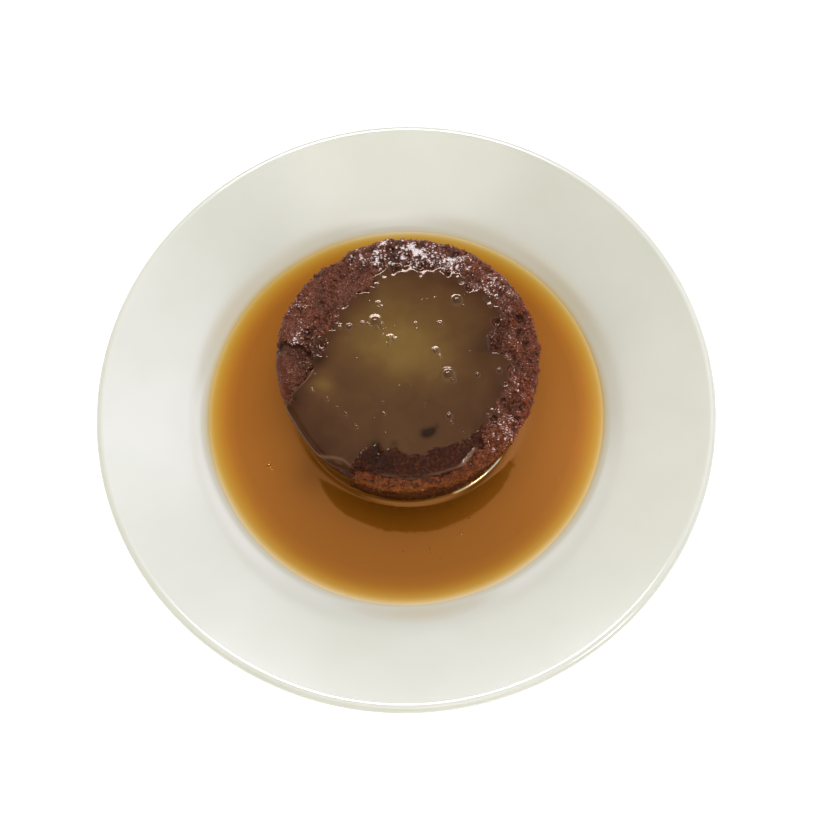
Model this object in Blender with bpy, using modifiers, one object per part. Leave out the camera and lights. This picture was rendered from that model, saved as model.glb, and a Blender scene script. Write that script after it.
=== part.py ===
"""Sticky date pudding on a wide-rimmed plate, with toffee sauce pooled round it and poured over its top.

Run with: blender --background --python part.py

The plate stands on z = 0, centred on the origin. +Z is up and -Y is the diner's side. Sizes are given in
millimetres times MM, because Blender works in metres. Four closed solids are made:
  plate         white glazed plate: foot ring, flat floor, curved well wall, sloping rim, rounded lip
  toffee_pool   the sauce in the well, with a socket that the pudding stands in
  date_pudding  the sponge, tapered as its tin was, with a rounded, craggy top edge
  toffee_glaze  the sauce on top, which runs over the edge and down the side at the front left
"""

import math

import bmesh
import bpy
from mathutils import Vector, noise

MM = 0.001
GAP = 0.3 * MM  # left between solids that touch

# Plate
PLATE_RADIUS = 115.0 * MM
PLATE_STEPS = 72
FLOOR_Z = 6.0 * MM
FLOOR_RADIUS = 60.5 * MM
WELL_CURVE = 30.0 * MM  # radius of the arc from the floor up the well wall
CREASE_SLOPE = math.radians(42.0)  # where the well wall turns over into the rim
CREASE_CURVE = 8.0 * MM
RIM_SLOPE = math.radians(24.0)
LIP_RADIUS = 2.1 * MM
WALL_THICKNESS = 2 * LIP_RADIUS
FOOT_OUTER = 58.0 * MM
FOOT_WIDTH = 5.0 * MM
FOOT_DRAFT = 1.2 * MM  # how far each side of the foot ring leans in
FOOT_HEIGHT = 2.0 * MM
ARC_STEP = math.radians(8.0)
LIP_STEP = math.radians(24.0)

# Pudding
PUDDING_AT = Vector((1.8 * MM, 6.0 * MM, 0.0))
PUDDING_STEPS = 84
PUDDING_RADIUS = 47.7 * MM  # at the widest, just under the top edge
PUDDING_TOP_Z = 49.5 * MM
TOP_DISH = 1.0 * MM  # how far the middle of the top has sunk
EDGE_CURVE = 4.5 * MM
SIDE_TAPER = math.radians(7.5)
BASE_CURVE = 2.0 * MM
PUDDING_BASE_Z = FLOOR_Z + GAP
TOP_RINGS = (14.0, 23.0, 29.0, 33.0, 37.0, 40.5)  # mm along the top, closer together where the crags are
EDGE_RINGS = 5
SIDE_RINGS = 9
BASE_RINGS = 2

# Where the baked round is out of true at its top: (bearing in degrees, spread in degrees, mm outwards)
OUT_OF_TRUE = ((207.0, 20.0, -2.4), (335.0, 25.0, -0.5), (100.0, 30.0, 0.4))

# Relief of the crust, as heights along the surface's normal
LUMPS = ((8.0 * MM, 0.85 * MM), (4.0 * MM, 0.5 * MM))  # (size, height) of each layer of crags
CRAG_CLEAR = 2.0 * MM  # the crags start this far outside the glaze
CRAG_FADE = 3.5 * MM  # and grow to full height over this distance
CRAG_SPREAD = (-6.0, -3.0, 0.0, 3.0, 6.0)  # degrees to either side over which the glaze is kept clear
CRAG_FREE_Z = 15.0 * MM  # below this the side is smooth, where it stands in the sauce
LOW_SIDE_SHARE = 0.45  # crags on the side, against those on the top edge
# Holes and cracks in the crust: (bearing in degrees, mm out along the surface, radius in mm, depth in mm)
DENTS = (
    (172.0, 46.0, 2.6, 1.6),
    (174.0, 40.5, 2.6, 1.7),
    (178.0, 35.5, 3.0, 1.8),
    (119.0, 48.0, 3.2, 2.0),
    (93.0, 43.0, 3.0, 1.6),
    (64.0, 44.0, 2.8, 1.2),
    (16.0, 45.0, 2.8, 1.8),
    (7.0, 33.0, 3.2, 1.7),
    (328.0, 42.0, 2.6, 1.0),
    (277.0, 55.0, 3.0, 1.2),
)

# Sauce
POOL_Z = 10.5 * MM
POOL_STEPS = 72
SOCKET_GAP = 0.45 * MM
GLAZE_THICKNESS = 1.5 * MM
CURTAIN_THICKNESS = 1.1 * MM  # of the sauce that hangs down the side
GLAZE_LIP_SLOPE = 0.9  # how steeply the glaze thickens from its lip
GLAZE_ROOT = 1.5 * MM  # how far beyond the lip the uncut glaze dips, to be cut back to a gap
# How far the glaze reaches from the middle, in mm along the surface, at each bearing in degrees
GLAZE_REACH = (
    (0.0, 28.5), (11.0, 30.0), (17.0, 35.0), (26.0, 36.5), (37.0, 36.5), (45.0, 33.5), (57.0, 34.0),
    (66.0, 35.5), (83.0, 34.0), (96.0, 34.0), (104.0, 33.5), (111.0, 29.5), (125.0, 28.0),
    (146.0, 27.6), (156.0, 29.0), (174.0, 30.0), (183.0, 33.5), (189.0, 37.0), (197.0, 45.0),
    (210.0, 47.0), (235.0, 47.0), (248.0, 43.5), (259.0, 42.5), (275.0, 43.5), (290.0, 42.0),
    (300.0, 39.0), (310.0, 36.5), (330.0, 35.8), (341.0, 36.0), (349.0, 39.0), (355.0, 35.0),
)  # fmt: skip
# The sauce that has run down the side, at the diner's left
CURTAIN_BEARING = 221.0
CURTAIN_HALF_WIDTH = 22.0  # degrees, at the top
CURTAIN_NARROWS = 5.0  # degrees on each side, by the time it meets the pool
CURTAIN_FOOT_Z = POOL_Z + 1.0 * MM


def clear_scene():
    """Removes every object, so that the part stands alone."""
    for thing in list(bpy.data.objects):
        bpy.data.objects.remove(thing, do_unlink=True)


def new_collection(name):
    """An empty collection linked to the scene."""
    made = bpy.data.collections.new(name)
    bpy.context.scene.collection.children.link(made)
    return made


def food_material(name, colour, roughness, coat=0.0):
    """A Principled material; colour is linear RGB."""
    made = bpy.data.materials.new(name)
    made.use_nodes = True
    shader = made.node_tree.nodes["Principled BSDF"]
    shader.inputs["Base Color"].default_value = (*colour, 1.0)
    shader.inputs["Roughness"].default_value = roughness
    shader.inputs["Metallic"].default_value = 0.0
    shader.inputs["Coat Weight"].default_value = coat
    return made


def link_object(name, mesh, collection, material=None):
    """Puts a mesh into a collection as a named object."""
    made = bpy.data.objects.new(name, mesh)
    if material:
        mesh.materials.append(material)
    collection.objects.link(made)
    return made


def lathe(name, outline, steps, collection, material=None):
    """Turns an outline of (radius, z) points round Z with a Screw modifier.

    The outline starts at the top on the axis, and runs out and down.
    """
    mesh = bpy.data.meshes.new(name)
    points = [(radius, 0.0, z) for radius, z in outline]
    edges = [(i, i + 1) for i in range(len(points) - 1)]
    mesh.from_pydata(points, edges, [])
    made = link_object(name, mesh, collection, material)
    screw = made.modifiers.new("turned", "SCREW")
    screw.axis = "Z"
    screw.steps = steps
    screw.render_steps = steps
    screw.use_merge_vertices = True
    screw.merge_threshold = 0.01 * MM
    screw.use_smooth_shade = True
    return made


def subtract(thing, cutter):
    """Cuts one object out of another with an exact Boolean, and leaves the cutter as an unrendered wire."""
    cutter.hide_render = True
    cutter.display_type = "WIRE"
    cut = thing.modifiers.new(cutter.name, "BOOLEAN")
    cut.operation = "DIFFERENCE"
    cut.solver = "EXACT"
    cut.object = cutter


def apply_modifiers(thing):
    """Replaces an object's mesh with what its modifiers make of it."""
    graph = bpy.context.evaluated_depsgraph_get()
    mesh = bpy.data.meshes.new_from_object(thing.evaluated_get(graph))
    thing.modifiers.clear()
    thing.data = mesh


def smooth(x, low, high):
    """0 below low, 1 above high, and an S-shaped ramp between."""
    t = min(1.0, max(0.0, (x - low) / (high - low)))
    return t * t * (3.0 - 2.0 * t)


def arc(centre, radius, start, end, step=ARC_STEP):
    """Points on an arc in the (radius, z) plane. An angle is measured from straight down, towards +radius."""
    count = max(2, math.ceil(abs(end - start) / step))
    angles = [start + (end - start) * i / count for i in range(count + 1)]
    return [(centre[0] + radius * math.sin(a), centre[1] - radius * math.cos(a)) for a in angles]


def well_arc(thickness, end):
    """The well wall from the floor's edge up to a slope of end, this far under the eating surface."""
    centre = (FLOOR_RADIUS, FLOOR_Z + WELL_CURVE)
    return arc(centre, WELL_CURVE + thickness, 0.0, end)


def crease_arc(thickness):
    """The convex turn from the well wall into the rim, this far under the eating surface."""
    wall_top = well_arc(0.0, CREASE_SLOPE)[-1]
    centre = (
        wall_top[0] + CREASE_CURVE * math.sin(CREASE_SLOPE),
        wall_top[1] - CREASE_CURVE * math.cos(CREASE_SLOPE),
    )
    return arc(centre, CREASE_CURVE - thickness, math.pi + CREASE_SLOPE, math.pi + RIM_SLOPE)


def lip_arc():
    """The rounded lip, from the rim's top face round to its underside."""
    rim_start = crease_arc(0.0)[-1]
    centre_radius = PLATE_RADIUS - LIP_RADIUS
    run = centre_radius - rim_start[0] - LIP_RADIUS * math.sin(RIM_SLOPE)
    centre_z = rim_start[1] + run * math.tan(RIM_SLOPE) - LIP_RADIUS * math.cos(RIM_SLOPE)
    return arc((centre_radius, centre_z), LIP_RADIUS, math.pi + RIM_SLOPE, RIM_SLOPE, LIP_STEP)


def plate_outline():
    """The plate's half section, from the middle of the floor out over the rim and back under to the axis."""
    eating_side = [(0.0, FLOOR_Z)] + well_arc(0.0, CREASE_SLOPE) + crease_arc(0.0)[1:]
    wall_under = [p for p in well_arc(WALL_THICKNESS, CREASE_SLOPE) if p[0] > FOOT_OUTER + FOOT_DRAFT]
    underside = crease_arc(WALL_THICKNESS)[::-1] + wall_under[::-1]
    inner = FOOT_OUTER - FOOT_WIDTH
    foot = [
        (FOOT_OUTER, FOOT_DRAFT / 2),
        (FOOT_OUTER - FOOT_DRAFT / 2, 0.0),
        (inner + FOOT_DRAFT / 2, 0.0),
        (inner, FOOT_DRAFT / 2),
        (inner - FOOT_DRAFT, FOOT_HEIGHT),
        (0.0, FOOT_HEIGHT),
    ]
    return eating_side + lip_arc() + underside + foot


def pool_outline():
    """The sauce's half section: level on top, and lying in the well with a gap."""
    angle = math.acos((FLOOR_Z + WELL_CURVE - POOL_Z) / (WELL_CURVE - GAP))
    bed = well_arc(-GAP, angle)
    return [(0.0, POOL_Z), *bed[::-1], (0.0, FLOOR_Z + GAP)]


EDGE_CENTRE = (PUDDING_RADIUS - EDGE_CURVE, PUDDING_TOP_Z - EDGE_CURVE)
EDGE_SWEEP = math.pi / 2 + SIDE_TAPER
EDGE_LENGTH = EDGE_CURVE * EDGE_SWEEP
SIDE_TOP = (
    EDGE_CENTRE[0] + EDGE_CURVE * math.sin(EDGE_SWEEP),
    EDGE_CENTRE[1] + EDGE_CURVE * math.cos(EDGE_SWEEP),
)
SIDE_START = EDGE_CENTRE[0] + EDGE_LENGTH
SIDE_LENGTH = (SIDE_TOP[1] - PUDDING_BASE_Z - BASE_CURVE) / math.cos(SIDE_TAPER)


def on_surface(along):
    """A point of the smooth pudding, this far along its surface from the middle of the top.

    Gives its radius and z, and the radius and z parts of the normal.
    """
    if along <= EDGE_CENTRE[0]:
        share = along / EDGE_CENTRE[0]
        return along, PUDDING_TOP_Z - TOP_DISH * (1.0 - share**2) ** 2, 0.0, 1.0
    if along <= SIDE_START:
        turn = (along - EDGE_CENTRE[0]) / EDGE_CURVE
        out, up = math.sin(turn), math.cos(turn)
        return EDGE_CENTRE[0] + EDGE_CURVE * out, EDGE_CENTRE[1] + EDGE_CURVE * up, out, up
    down = along - SIDE_START
    out, up = math.cos(SIDE_TAPER), -math.sin(SIDE_TAPER)
    return SIDE_TOP[0] + down * up, SIDE_TOP[1] - down * out, out, up


def side_radius(z):
    """Radius of the smooth side at a height."""
    return SIDE_TOP[0] - (SIDE_TOP[1] - z) * math.tan(SIDE_TAPER)


def pudding_stations():
    """Distances along the surface at which the pudding's rings lie, down to the base curve."""
    top = [0.0] + [mm * MM for mm in TOP_RINGS] + [EDGE_CENTRE[0]]
    edge = [EDGE_CENTRE[0] + EDGE_LENGTH * (i + 1) / EDGE_RINGS for i in range(EDGE_RINGS)]
    side = [SIDE_START + SIDE_LENGTH * (i + 1) / SIDE_RINGS for i in range(SIDE_RINGS)]
    return top + edge + side


def pudding_outline():
    """The smooth pudding's half section, from the middle of the top out, down and under."""
    section = [on_surface(along)[:2] for along in pudding_stations()]
    low_radius, low_z = section[-1]
    for i in range(1, BASE_RINGS + 1):
        turn = math.pi / 2 * i / BASE_RINGS
        radius = low_radius - BASE_CURVE * (1.0 - math.cos(turn))
        section.append((radius, low_z - BASE_CURVE * math.sin(turn)))
    return section + [(0.0, PUDDING_BASE_Z)]


def bearing_apart(bearing, other):
    """The signed angle in degrees from one bearing to another, the shorter way round."""
    return (bearing - other + 180.0) % 360.0 - 180.0


def glaze_reach(bearing):
    """How far the glaze runs along the surface at a bearing in degrees."""
    bearing %= 360.0
    first_bearing, first_reach = GLAZE_REACH[0]
    table = (*GLAZE_REACH, (first_bearing + 360.0, first_reach))
    for (low, near), (high, far) in zip(table, table[1:]):
        if low <= bearing <= high:
            return (near + (far - near) * smooth(bearing, low, high)) * MM
    return first_reach * MM


def glaze_depth(bearing, along):
    """How far a point of the surface lies inside the edge of the glaze; negative outside it."""
    cap = glaze_reach(bearing) - along
    aside = abs(bearing_apart(bearing, CURTAIN_BEARING))
    half_width = CURTAIN_HALF_WIDTH - CURTAIN_NARROWS * smooth(along, SIDE_START, SIDE_START + SIDE_LENGTH)
    foot = SIDE_START + (SIDE_TOP[1] - CURTAIN_FOOT_Z) / math.cos(SIDE_TAPER)
    curtain = min(math.radians(half_width - aside) * PUDDING_RADIUS, foot - along, along - EDGE_CENTRE[0])
    return max(cap, curtain)


def crag_height(point, bearing, along):
    """Height of the crust's relief at a point of the smooth surface."""
    clear = min(-glaze_depth(bearing + aside, along) for aside in CRAG_SPREAD)
    outside = smooth(clear, CRAG_CLEAR, CRAG_CLEAR + CRAG_FADE)
    dry = smooth(point.z, POOL_Z + SOCKET_GAP, CRAG_FREE_Z)
    side = 1.0 - (1.0 - LOW_SIDE_SHARE) * smooth(along, SIDE_START, SIDE_START + EDGE_CURVE)
    height = sum(tall * noise.noise(point / size) for size, tall in LUMPS)
    for dent_bearing, dent_along, radius, depth in DENTS:
        turn = math.radians(bearing_apart(bearing, dent_bearing))
        across = turn * min(along, PUDDING_RADIUS)
        apart = math.hypot(across, along - dent_along * MM)
        height -= depth * MM * math.exp(-((apart / (radius * MM)) ** 2))
    return height * outside * dry * side


def put_out_of_true(point, bearing):
    """A point of the smooth pudding moved in or out, more the higher it is, so that the round isn't perfect."""
    rise = max(0.0, (point.z - POOL_Z) / (PUDDING_TOP_Z - POOL_Z))
    outwards = sum(
        mm * MM * math.exp(-((bearing_apart(bearing, middle) / spread) ** 2)) for middle, spread, mm in OUT_OF_TRUE
    )
    scale = 1.0 + rise * outwards / PUDDING_RADIUS
    return Vector((point.x * scale, point.y * scale, point.z))


def lift_surface(thing, lift_at):
    """Puts the pudding's surface out of true and moves each point out by lift_at(point, bearing, along).

    The bearing is in degrees, and along is the distance over the surface from the middle of the top.
    """
    mesh = bmesh.new()
    mesh.from_mesh(thing.data)
    stations = [on_surface(along) + (along,) for along in pudding_stations()]
    for vert in mesh.verts:
        radius = math.hypot(vert.co.x, vert.co.y)
        station = min(stations, key=lambda s: math.hypot(s[0] - radius, s[1] - vert.co.z))
        near_radius, near_z, out, up, along = station
        if math.hypot(near_radius - radius, near_z - vert.co.z) > 0.01 * MM:
            continue  # the base curve and the underside stay as they are
        bearing = math.degrees(math.atan2(vert.co.y, vert.co.x))
        turn = math.radians(bearing)
        aim = Vector((out * math.cos(turn), out * math.sin(turn), up))
        vert.co = put_out_of_true(vert.co, bearing) + aim * lift_at(vert.co, bearing, along)
    mesh.to_mesh(thing.data)
    mesh.free()


def glaze_lift(_point, bearing, along):
    """How far the uncut glaze's outer face stands off the pudding; under the gap outside the glaze's edge."""
    body = GLAZE_THICKNESS + (CURTAIN_THICKNESS - GLAZE_THICKNESS) * smooth(along, EDGE_CENTRE[0], SIDE_START)
    dish = on_surface(EDGE_CENTRE[0])[1] - on_surface(min(along, EDGE_CENTRE[0]))[1]
    depth = glaze_depth(bearing, along)
    return GAP + dish + max(-GLAZE_ROOT, min(body, GLAZE_LIP_SLOPE * depth))


def surface_section(below):
    """The smooth pudding's half section down to its base curve, and closed across that much lower."""
    section = [on_surface(along)[:2] for along in pudding_stations()]
    low_radius, low_z = section[-1]
    return section + [(low_radius, low_z - below), (0.0, low_z - below)]


def make_glaze(collection, cutters, material):
    """The sauce on top and down the side: the pudding's surface raised where it is wet, less the pudding."""
    made = lathe("toffee_glaze", surface_section(GAP), PUDDING_STEPS, collection, material)
    apply_modifiers(made)
    lift_surface(made, glaze_lift)
    made.location = PUDDING_AT
    bed = lathe("glaze_bed", surface_section(2 * GAP), PUDDING_STEPS, cutters)
    apply_modifiers(bed)
    lift_surface(bed, lambda _point, _bearing, _along: GAP)
    bed.location = PUDDING_AT
    subtract(made, bed)
    return made


def make_plate(collection, material):
    """The plate, turned from its half section."""
    return lathe("plate", plate_outline(), PLATE_STEPS, collection, material)


def make_pudding(collection, material):
    """The sponge, turned smooth and then roughened, standing in the well."""
    made = lathe("date_pudding", pudding_outline(), PUDDING_STEPS, collection, material)
    apply_modifiers(made)
    lift_surface(made, crag_height)
    made.location = PUDDING_AT
    return made


def make_pool(collection, cutters, material):
    """The sauce in the well, less a tapered socket that clears the pudding's side."""
    made = lathe("toffee_pool", pool_outline(), POOL_STEPS, collection, material)
    low, high = FLOOR_Z - 2 * GAP, POOL_Z + 2 * GAP
    clear = SOCKET_GAP / math.cos(math.pi / PUDDING_STEPS)
    socket_section = [
        (0.0, high),
        (side_radius(high) + clear, high),
        (side_radius(low) + clear, low),
        (0.0, low),
    ]
    socket = lathe("socket", socket_section, PUDDING_STEPS, cutters)
    socket.location = PUDDING_AT
    subtract(made, socket)
    return made


def main():
    """Builds the four solids."""
    clear_scene()
    parts = new_collection("sticky_date_pudding")
    cutters = new_collection("cutters")
    china = food_material("white_glazed_china", (0.78, 0.79, 0.74), 0.12)
    sponge = food_material("date_sponge", (0.085, 0.026, 0.014), 0.45)
    sauce = food_material("toffee_sauce", (0.36, 0.13, 0.02), 0.1, coat=0.5)
    glaze = food_material("toffee_glaze", (0.16, 0.1, 0.035), 0.1, coat=0.5)
    make_plate(parts, china)
    make_pool(parts, cutters, sauce)
    make_pudding(parts, sponge)
    make_glaze(parts, cutters, glaze)


main()
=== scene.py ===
"""Looks of a sticky date pudding in toffee sauce on a wide-rimmed plate.

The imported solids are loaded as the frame, and each is replaced by a finer piece of the same size. Lengths are
in millimetres until a mesh is made. The plate's middle is the origin, +Z is up and the diner sits at -Y.
A place on the pudding is given by its bearing, in degrees anticlockwise from +X as seen from above, and by
how far along the surface it lies from the middle of the top.
"""

from __future__ import annotations

import logging
import math
from dataclasses import dataclass
from enum import Enum
from typing import Callable, Sequence

import bmesh
import bpy
import numpy as np
from mathutils import Matrix, Vector, noise


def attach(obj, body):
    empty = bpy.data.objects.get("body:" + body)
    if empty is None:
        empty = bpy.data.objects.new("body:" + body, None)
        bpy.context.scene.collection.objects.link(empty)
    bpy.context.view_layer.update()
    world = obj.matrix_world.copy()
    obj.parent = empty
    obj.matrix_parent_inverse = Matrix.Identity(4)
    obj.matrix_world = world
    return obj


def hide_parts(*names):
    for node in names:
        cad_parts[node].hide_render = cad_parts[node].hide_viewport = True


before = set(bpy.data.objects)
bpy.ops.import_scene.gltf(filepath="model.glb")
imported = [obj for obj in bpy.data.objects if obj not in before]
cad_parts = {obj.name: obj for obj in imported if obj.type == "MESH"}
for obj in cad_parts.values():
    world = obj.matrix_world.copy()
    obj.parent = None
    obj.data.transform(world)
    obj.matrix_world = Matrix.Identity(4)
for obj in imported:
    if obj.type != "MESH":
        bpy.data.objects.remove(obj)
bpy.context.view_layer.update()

LOG = logging.getLogger("sticky_date_pudding")
MM = 0.001
BODY = "root"

Row = tuple[float, ...]
Stops = Sequence[tuple[float, str]]
Node = bpy.types.Node
Socket = bpy.types.NodeSocket
Tree = bpy.types.NodeTree
Looks = dict[str, np.ndarray]


# ------------------------------------------------------------------------------------------------ helpers


def linear(hex_colour: str) -> tuple[float, float, float, float]:
    """Turns an sRGB hex colour into the linear RGBA that Blender's sockets take.

    Args:
        hex_colour: Six hex digits after a #.

    Returns:
        Linear red, green, blue and an alpha of 1.
    """
    channels = [int(hex_colour[i : i + 2], 16) / 255 for i in (1, 3, 5)]
    red, green, blue = [c / 12.92 if c <= 0.04045 else ((c + 0.055) / 1.055) ** 2.4 for c in channels]
    return red, green, blue, 1.0


def smooth(x: np.ndarray | float, low: float, high: float) -> np.ndarray:
    """An S-shaped ramp.

    Args:
        x: Where to read it.
        low: It is 0 up to here.
        high: It is 1 from here on.

    Returns:
        The ramp's height at x.
    """
    t = np.clip((np.asarray(x, float) - low) / (high - low), 0.0, 1.0)
    return t * t * (3.0 - 2.0 * t)


def bell(distance: np.ndarray, spread: float) -> np.ndarray:
    """A bell curve that is 1 at distance 0 and 1/e at the spread."""
    return np.exp(-((distance / spread) ** 2))


def apart(bearing: np.ndarray, other: float) -> np.ndarray:
    """The signed angle in degrees from one bearing to another, the shorter way round."""
    return (bearing - other + 180.0) % 360.0 - 180.0


def round_table(bearing: np.ndarray, table: Sequence[Row]) -> np.ndarray:
    """Reads a closed table of (bearing, value) rows with smooth steps between them.

    Args:
        bearing: Bearings in degrees.
        table: Rows in order of bearing, from 0 to under 360.

    Returns:
        The value at each bearing.
    """
    stops = np.array([row[0] for row in table] + [table[0][0] + 360.0])
    values = np.array([row[1] for row in table] + [table[0][1]])
    turned = (bearing - stops[0]) % 360.0 + stops[0]
    low = np.clip(np.searchsorted(stops, turned, side="right") - 1, 0, len(table) - 1)
    share = smooth((turned - stops[low]) / (stops[low + 1] - stops[low]), 0.0, 1.0)
    return values[low] + (values[low + 1] - values[low]) * share


def each(points: np.ndarray, size: float, measure: Callable[[Vector], float]) -> np.ndarray:
    """Reads a noise at every point of a grid.

    Args:
        points: An array whose last axis is x, y, z.
        size: The noise's cell size, in the points' unit.
        measure: Gives the noise's value at a vector.

    Returns:
        The values, in the grid's shape.
    """
    flat = (points / size).reshape(-1, 3).tolist()
    return np.fromiter((measure(Vector(p)) for p in flat), float, len(flat)).reshape(points.shape[:-1])


def cell_distance(point: Vector) -> float:
    """Distance to the nearest of the random points that there is about one of in each unit cell."""
    return noise.voronoi(point)[0][0]


def sheet_mesh(
    name: str, grid: np.ndarray, keep: np.ndarray | None = None, tip: np.ndarray | None = None
) -> bpy.types.Mesh:
    """Makes a mesh of a grid that runs outwards by rows and closes on itself round each row.

    Args:
        name: The mesh's name.
        grid: Points in millimetres, with shape (rows, columns, 3).
        keep: Which points to keep, with shape (rows, columns). A face needs all its corners.
        tip: A point that closes the first row.

    Returns:
        The smooth-shaded mesh. Its attribute "grid" numbers the grid point that each vertex came from.
    """
    rows, columns = grid.shape[:2]
    i, j = np.meshgrid(np.arange(rows - 1), np.arange(columns), indexing="ij")
    beside = (j + 1) % columns
    corners = [i * columns + j, (i + 1) * columns + j, (i + 1) * columns + beside, i * columns + beside]
    faces = np.stack(corners, axis=-1).reshape(-1, 4)
    if keep is not None:
        faces = faces[keep.reshape(-1)[faces].all(axis=1)]
    used = np.unique(faces)
    renumber = np.full(rows * columns, -1)
    renumber[used] = np.arange(len(used))
    points = grid.reshape(-1, 3)[used]
    face_list = renumber[faces].tolist()
    origin = used
    if tip is not None:
        points = np.vstack([points, tip])
        ring = renumber[np.arange(columns)]
        face_list += [[len(points) - 1, int(ring[k]), int(ring[(k + 1) % columns])] for k in range(columns)]
        origin = np.append(used, 0)
    mesh = bpy.data.meshes.new(name)
    mesh.from_pydata((points * MM).tolist(), [], face_list)
    mesh.attributes.new("grid", "INT", "POINT").data.foreach_set("value", origin.astype(np.int32))
    mesh.shade_smooth()
    return mesh


def paint(mesh: bpy.types.Mesh, name: str, values: np.ndarray) -> None:
    """Stores one number for each grid point on a mesh from sheet_mesh, for its finish to read."""
    origin = np.zeros(len(mesh.vertices), np.int32)
    mesh.attributes["grid"].data.foreach_get("value", origin)
    numbers = values.reshape(-1)[origin].astype(np.float32)
    mesh.attributes.new(name, "FLOAT", "POINT").data.foreach_set("value", numbers)


def add_piece(
    name: str, mesh: bpy.types.Mesh, material: bpy.types.Material, replaces: str = ""
) -> bpy.types.Object:
    """Puts a mesh in the scene as a piece of the pudding.

    Args:
        name: The piece's name.
        mesh: Its mesh, in the frame's metres.
        material: Its finish.
        replaces: The solid that the piece stands for, if any.

    Returns:
        The piece.
    """
    piece = bpy.data.objects.new(name, mesh)
    mesh.materials.append(material)
    bpy.context.scene.collection.objects.link(piece)
    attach(piece, BODY)
    if replaces:
        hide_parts(replaces)
    LOG.info("%s: %d vertices, %d faces", name, len(mesh.vertices), len(mesh.polygons))
    return piece


def add_node(tree: Tree, kind: str, inputs: dict | None = None, stops: Stops = (), **settings) -> Node:
    """Adds a shader node.

    Args:
        tree: The material's node tree.
        kind: The node's type, without "ShaderNode".
        inputs: A value, or another node's output to link from, for each input socket by name or number.
        stops: For a colour ramp, its (place, hex colour) stops, with the two ends first.
        **settings: The node's own settings.

    Returns:
        The node.
    """
    node = tree.nodes.new("ShaderNode" + kind)
    for key, value in settings.items():
        setattr(node, key, value)
    for key, value in (inputs or {}).items():
        if isinstance(value, Socket):
            tree.links.new(value, node.inputs[key])
        else:
            node.inputs[key].default_value = value
    for number, (place, colour) in enumerate(stops):
        band = node.color_ramp
        stop = band.elements[number] if number < 2 else band.elements.new(place)
        stop.position = place
        stop.color = linear(colour)
    return node


def blend(tree: Tree, share: Socket, first: object, second: object) -> Socket:
    """Mixes two colours.

    Args:
        tree: The material's node tree.
        share: How much of the second colour there is.
        first: A colour, or an output to link from.
        second: Another.

    Returns:
        The mixed colour's output.
    """
    node = add_node(tree, "Mix", {"Factor": share, "A": first, "B": second}, data_type="RGBA")
    return node.outputs["Result"]


def attribute(tree: Tree, name: str) -> Socket:
    """The output that reads a number painted on the mesh."""
    return add_node(tree, "Attribute", attribute_name=name).outputs["Fac"]


def new_material(name: str, uniform: dict[str, object]) -> tuple[bpy.types.Material, Tree, Node]:
    """Makes a material with nodes.

    Args:
        name: Its name.
        uniform: What is the same all over the surface, by the name of the Principled shader's socket.

    Returns:
        The material, its tree and its Principled shader.
    """
    material = bpy.data.materials.new(name)
    material.use_nodes = True
    shader = material.node_tree.nodes["Principled BSDF"]
    for socket, value in uniform.items():
        shader.inputs[socket].default_value = value
    return material, material.node_tree, shader


# ------------------------------------------------------------------------------------------------ finishes


@dataclass(frozen=True)
class ToffeeSauce:
    """Toffee sauce on white china: orange-brown where it lies deep, gold and then cream as it thins."""

    # (depth as a share of the full depth, colour), with the two ends first
    depths: tuple[tuple[float, str], ...] = (
        (0.0, "#E9E9E1"),
        (1.0, "#AA6720"),
        (0.035, "#E4E0D1"),
        (0.075, "#E0D2B2"),
        (0.12, "#D8C088"),
        (0.19, "#D0AE5E"),
        (0.28, "#C89E42"),
        (0.46, "#C38B2B"),
        (0.66, "#B87524"),
        (0.84, "#AA6720"),
    )
    full_depth_mm: float = 5.0
    lee: str = "#683A01"  # painted shade, where the pudding keeps the light off and towards the front
    lee_starts_mm: float = 0.2  # the lee and the drift show from this depth on
    lee_full_mm: float = 3.0
    drift_mm: float = 22.0  # the sauce is unevenly dark in patches about as wide as a spoon
    drift_share: float = 0.16
    roughness: float = 0.06
    ior: float = 1.47  # butter and sugar syrup
    gloss: float = 0.9
    mirror: str = "#FFB070"  # the warm cast that the sauce's skin gives to what it mirrors

    def tint(self, tree: Tree, depth: Socket) -> Socket:
        """The sauce's colour at a depth in millimetres."""
        share = add_node(tree, "MapRange", {"Value": depth, "From Min": 0.0, "From Max": self.full_depth_mm})
        ramp = add_node(tree, "ValToRGB", {"Fac": share.outputs["Result"]}, stops=self.depths)
        return ramp.outputs["Color"]

    def make(self) -> bpy.types.Material:
        """The material. It reads "depth" and "lee", which the pool paints on its mesh."""
        uniform = {
            "Roughness": self.roughness,
            "IOR": self.ior,
            "Specular IOR Level": self.gloss,
            "Specular Tint": linear(self.mirror),
        }
        material, tree, shader = new_material("toffee_sauce_on_china", uniform)
        place = add_node(tree, "TexCoord").outputs["Object"]
        depth = attribute(tree, "depth")
        lee = attribute(tree, "lee")
        reach = {"Value": depth, "From Min": self.lee_starts_mm, "From Max": self.lee_full_mm}
        deep = add_node(tree, "MapRange", reach).outputs["Result"]
        field = {"Vector": place, "Scale": 1 / (self.drift_mm * MM), "Detail": 3.0}
        drift = add_node(tree, "TexNoise", field)
        faint = add_node(tree, "Math", {0: drift.outputs["Fac"], 1: self.drift_share}, operation="MULTIPLY")
        colour = self.tint(tree, depth)
        for darkness in (faint.outputs[0], lee):
            share = add_node(tree, "Math", {0: darkness, 1: deep}, operation="MULTIPLY").outputs[0]
            colour = blend(tree, share, colour, linear(self.lee))
        tree.links.new(colour, shader.inputs["Base Color"])
        return material


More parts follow.
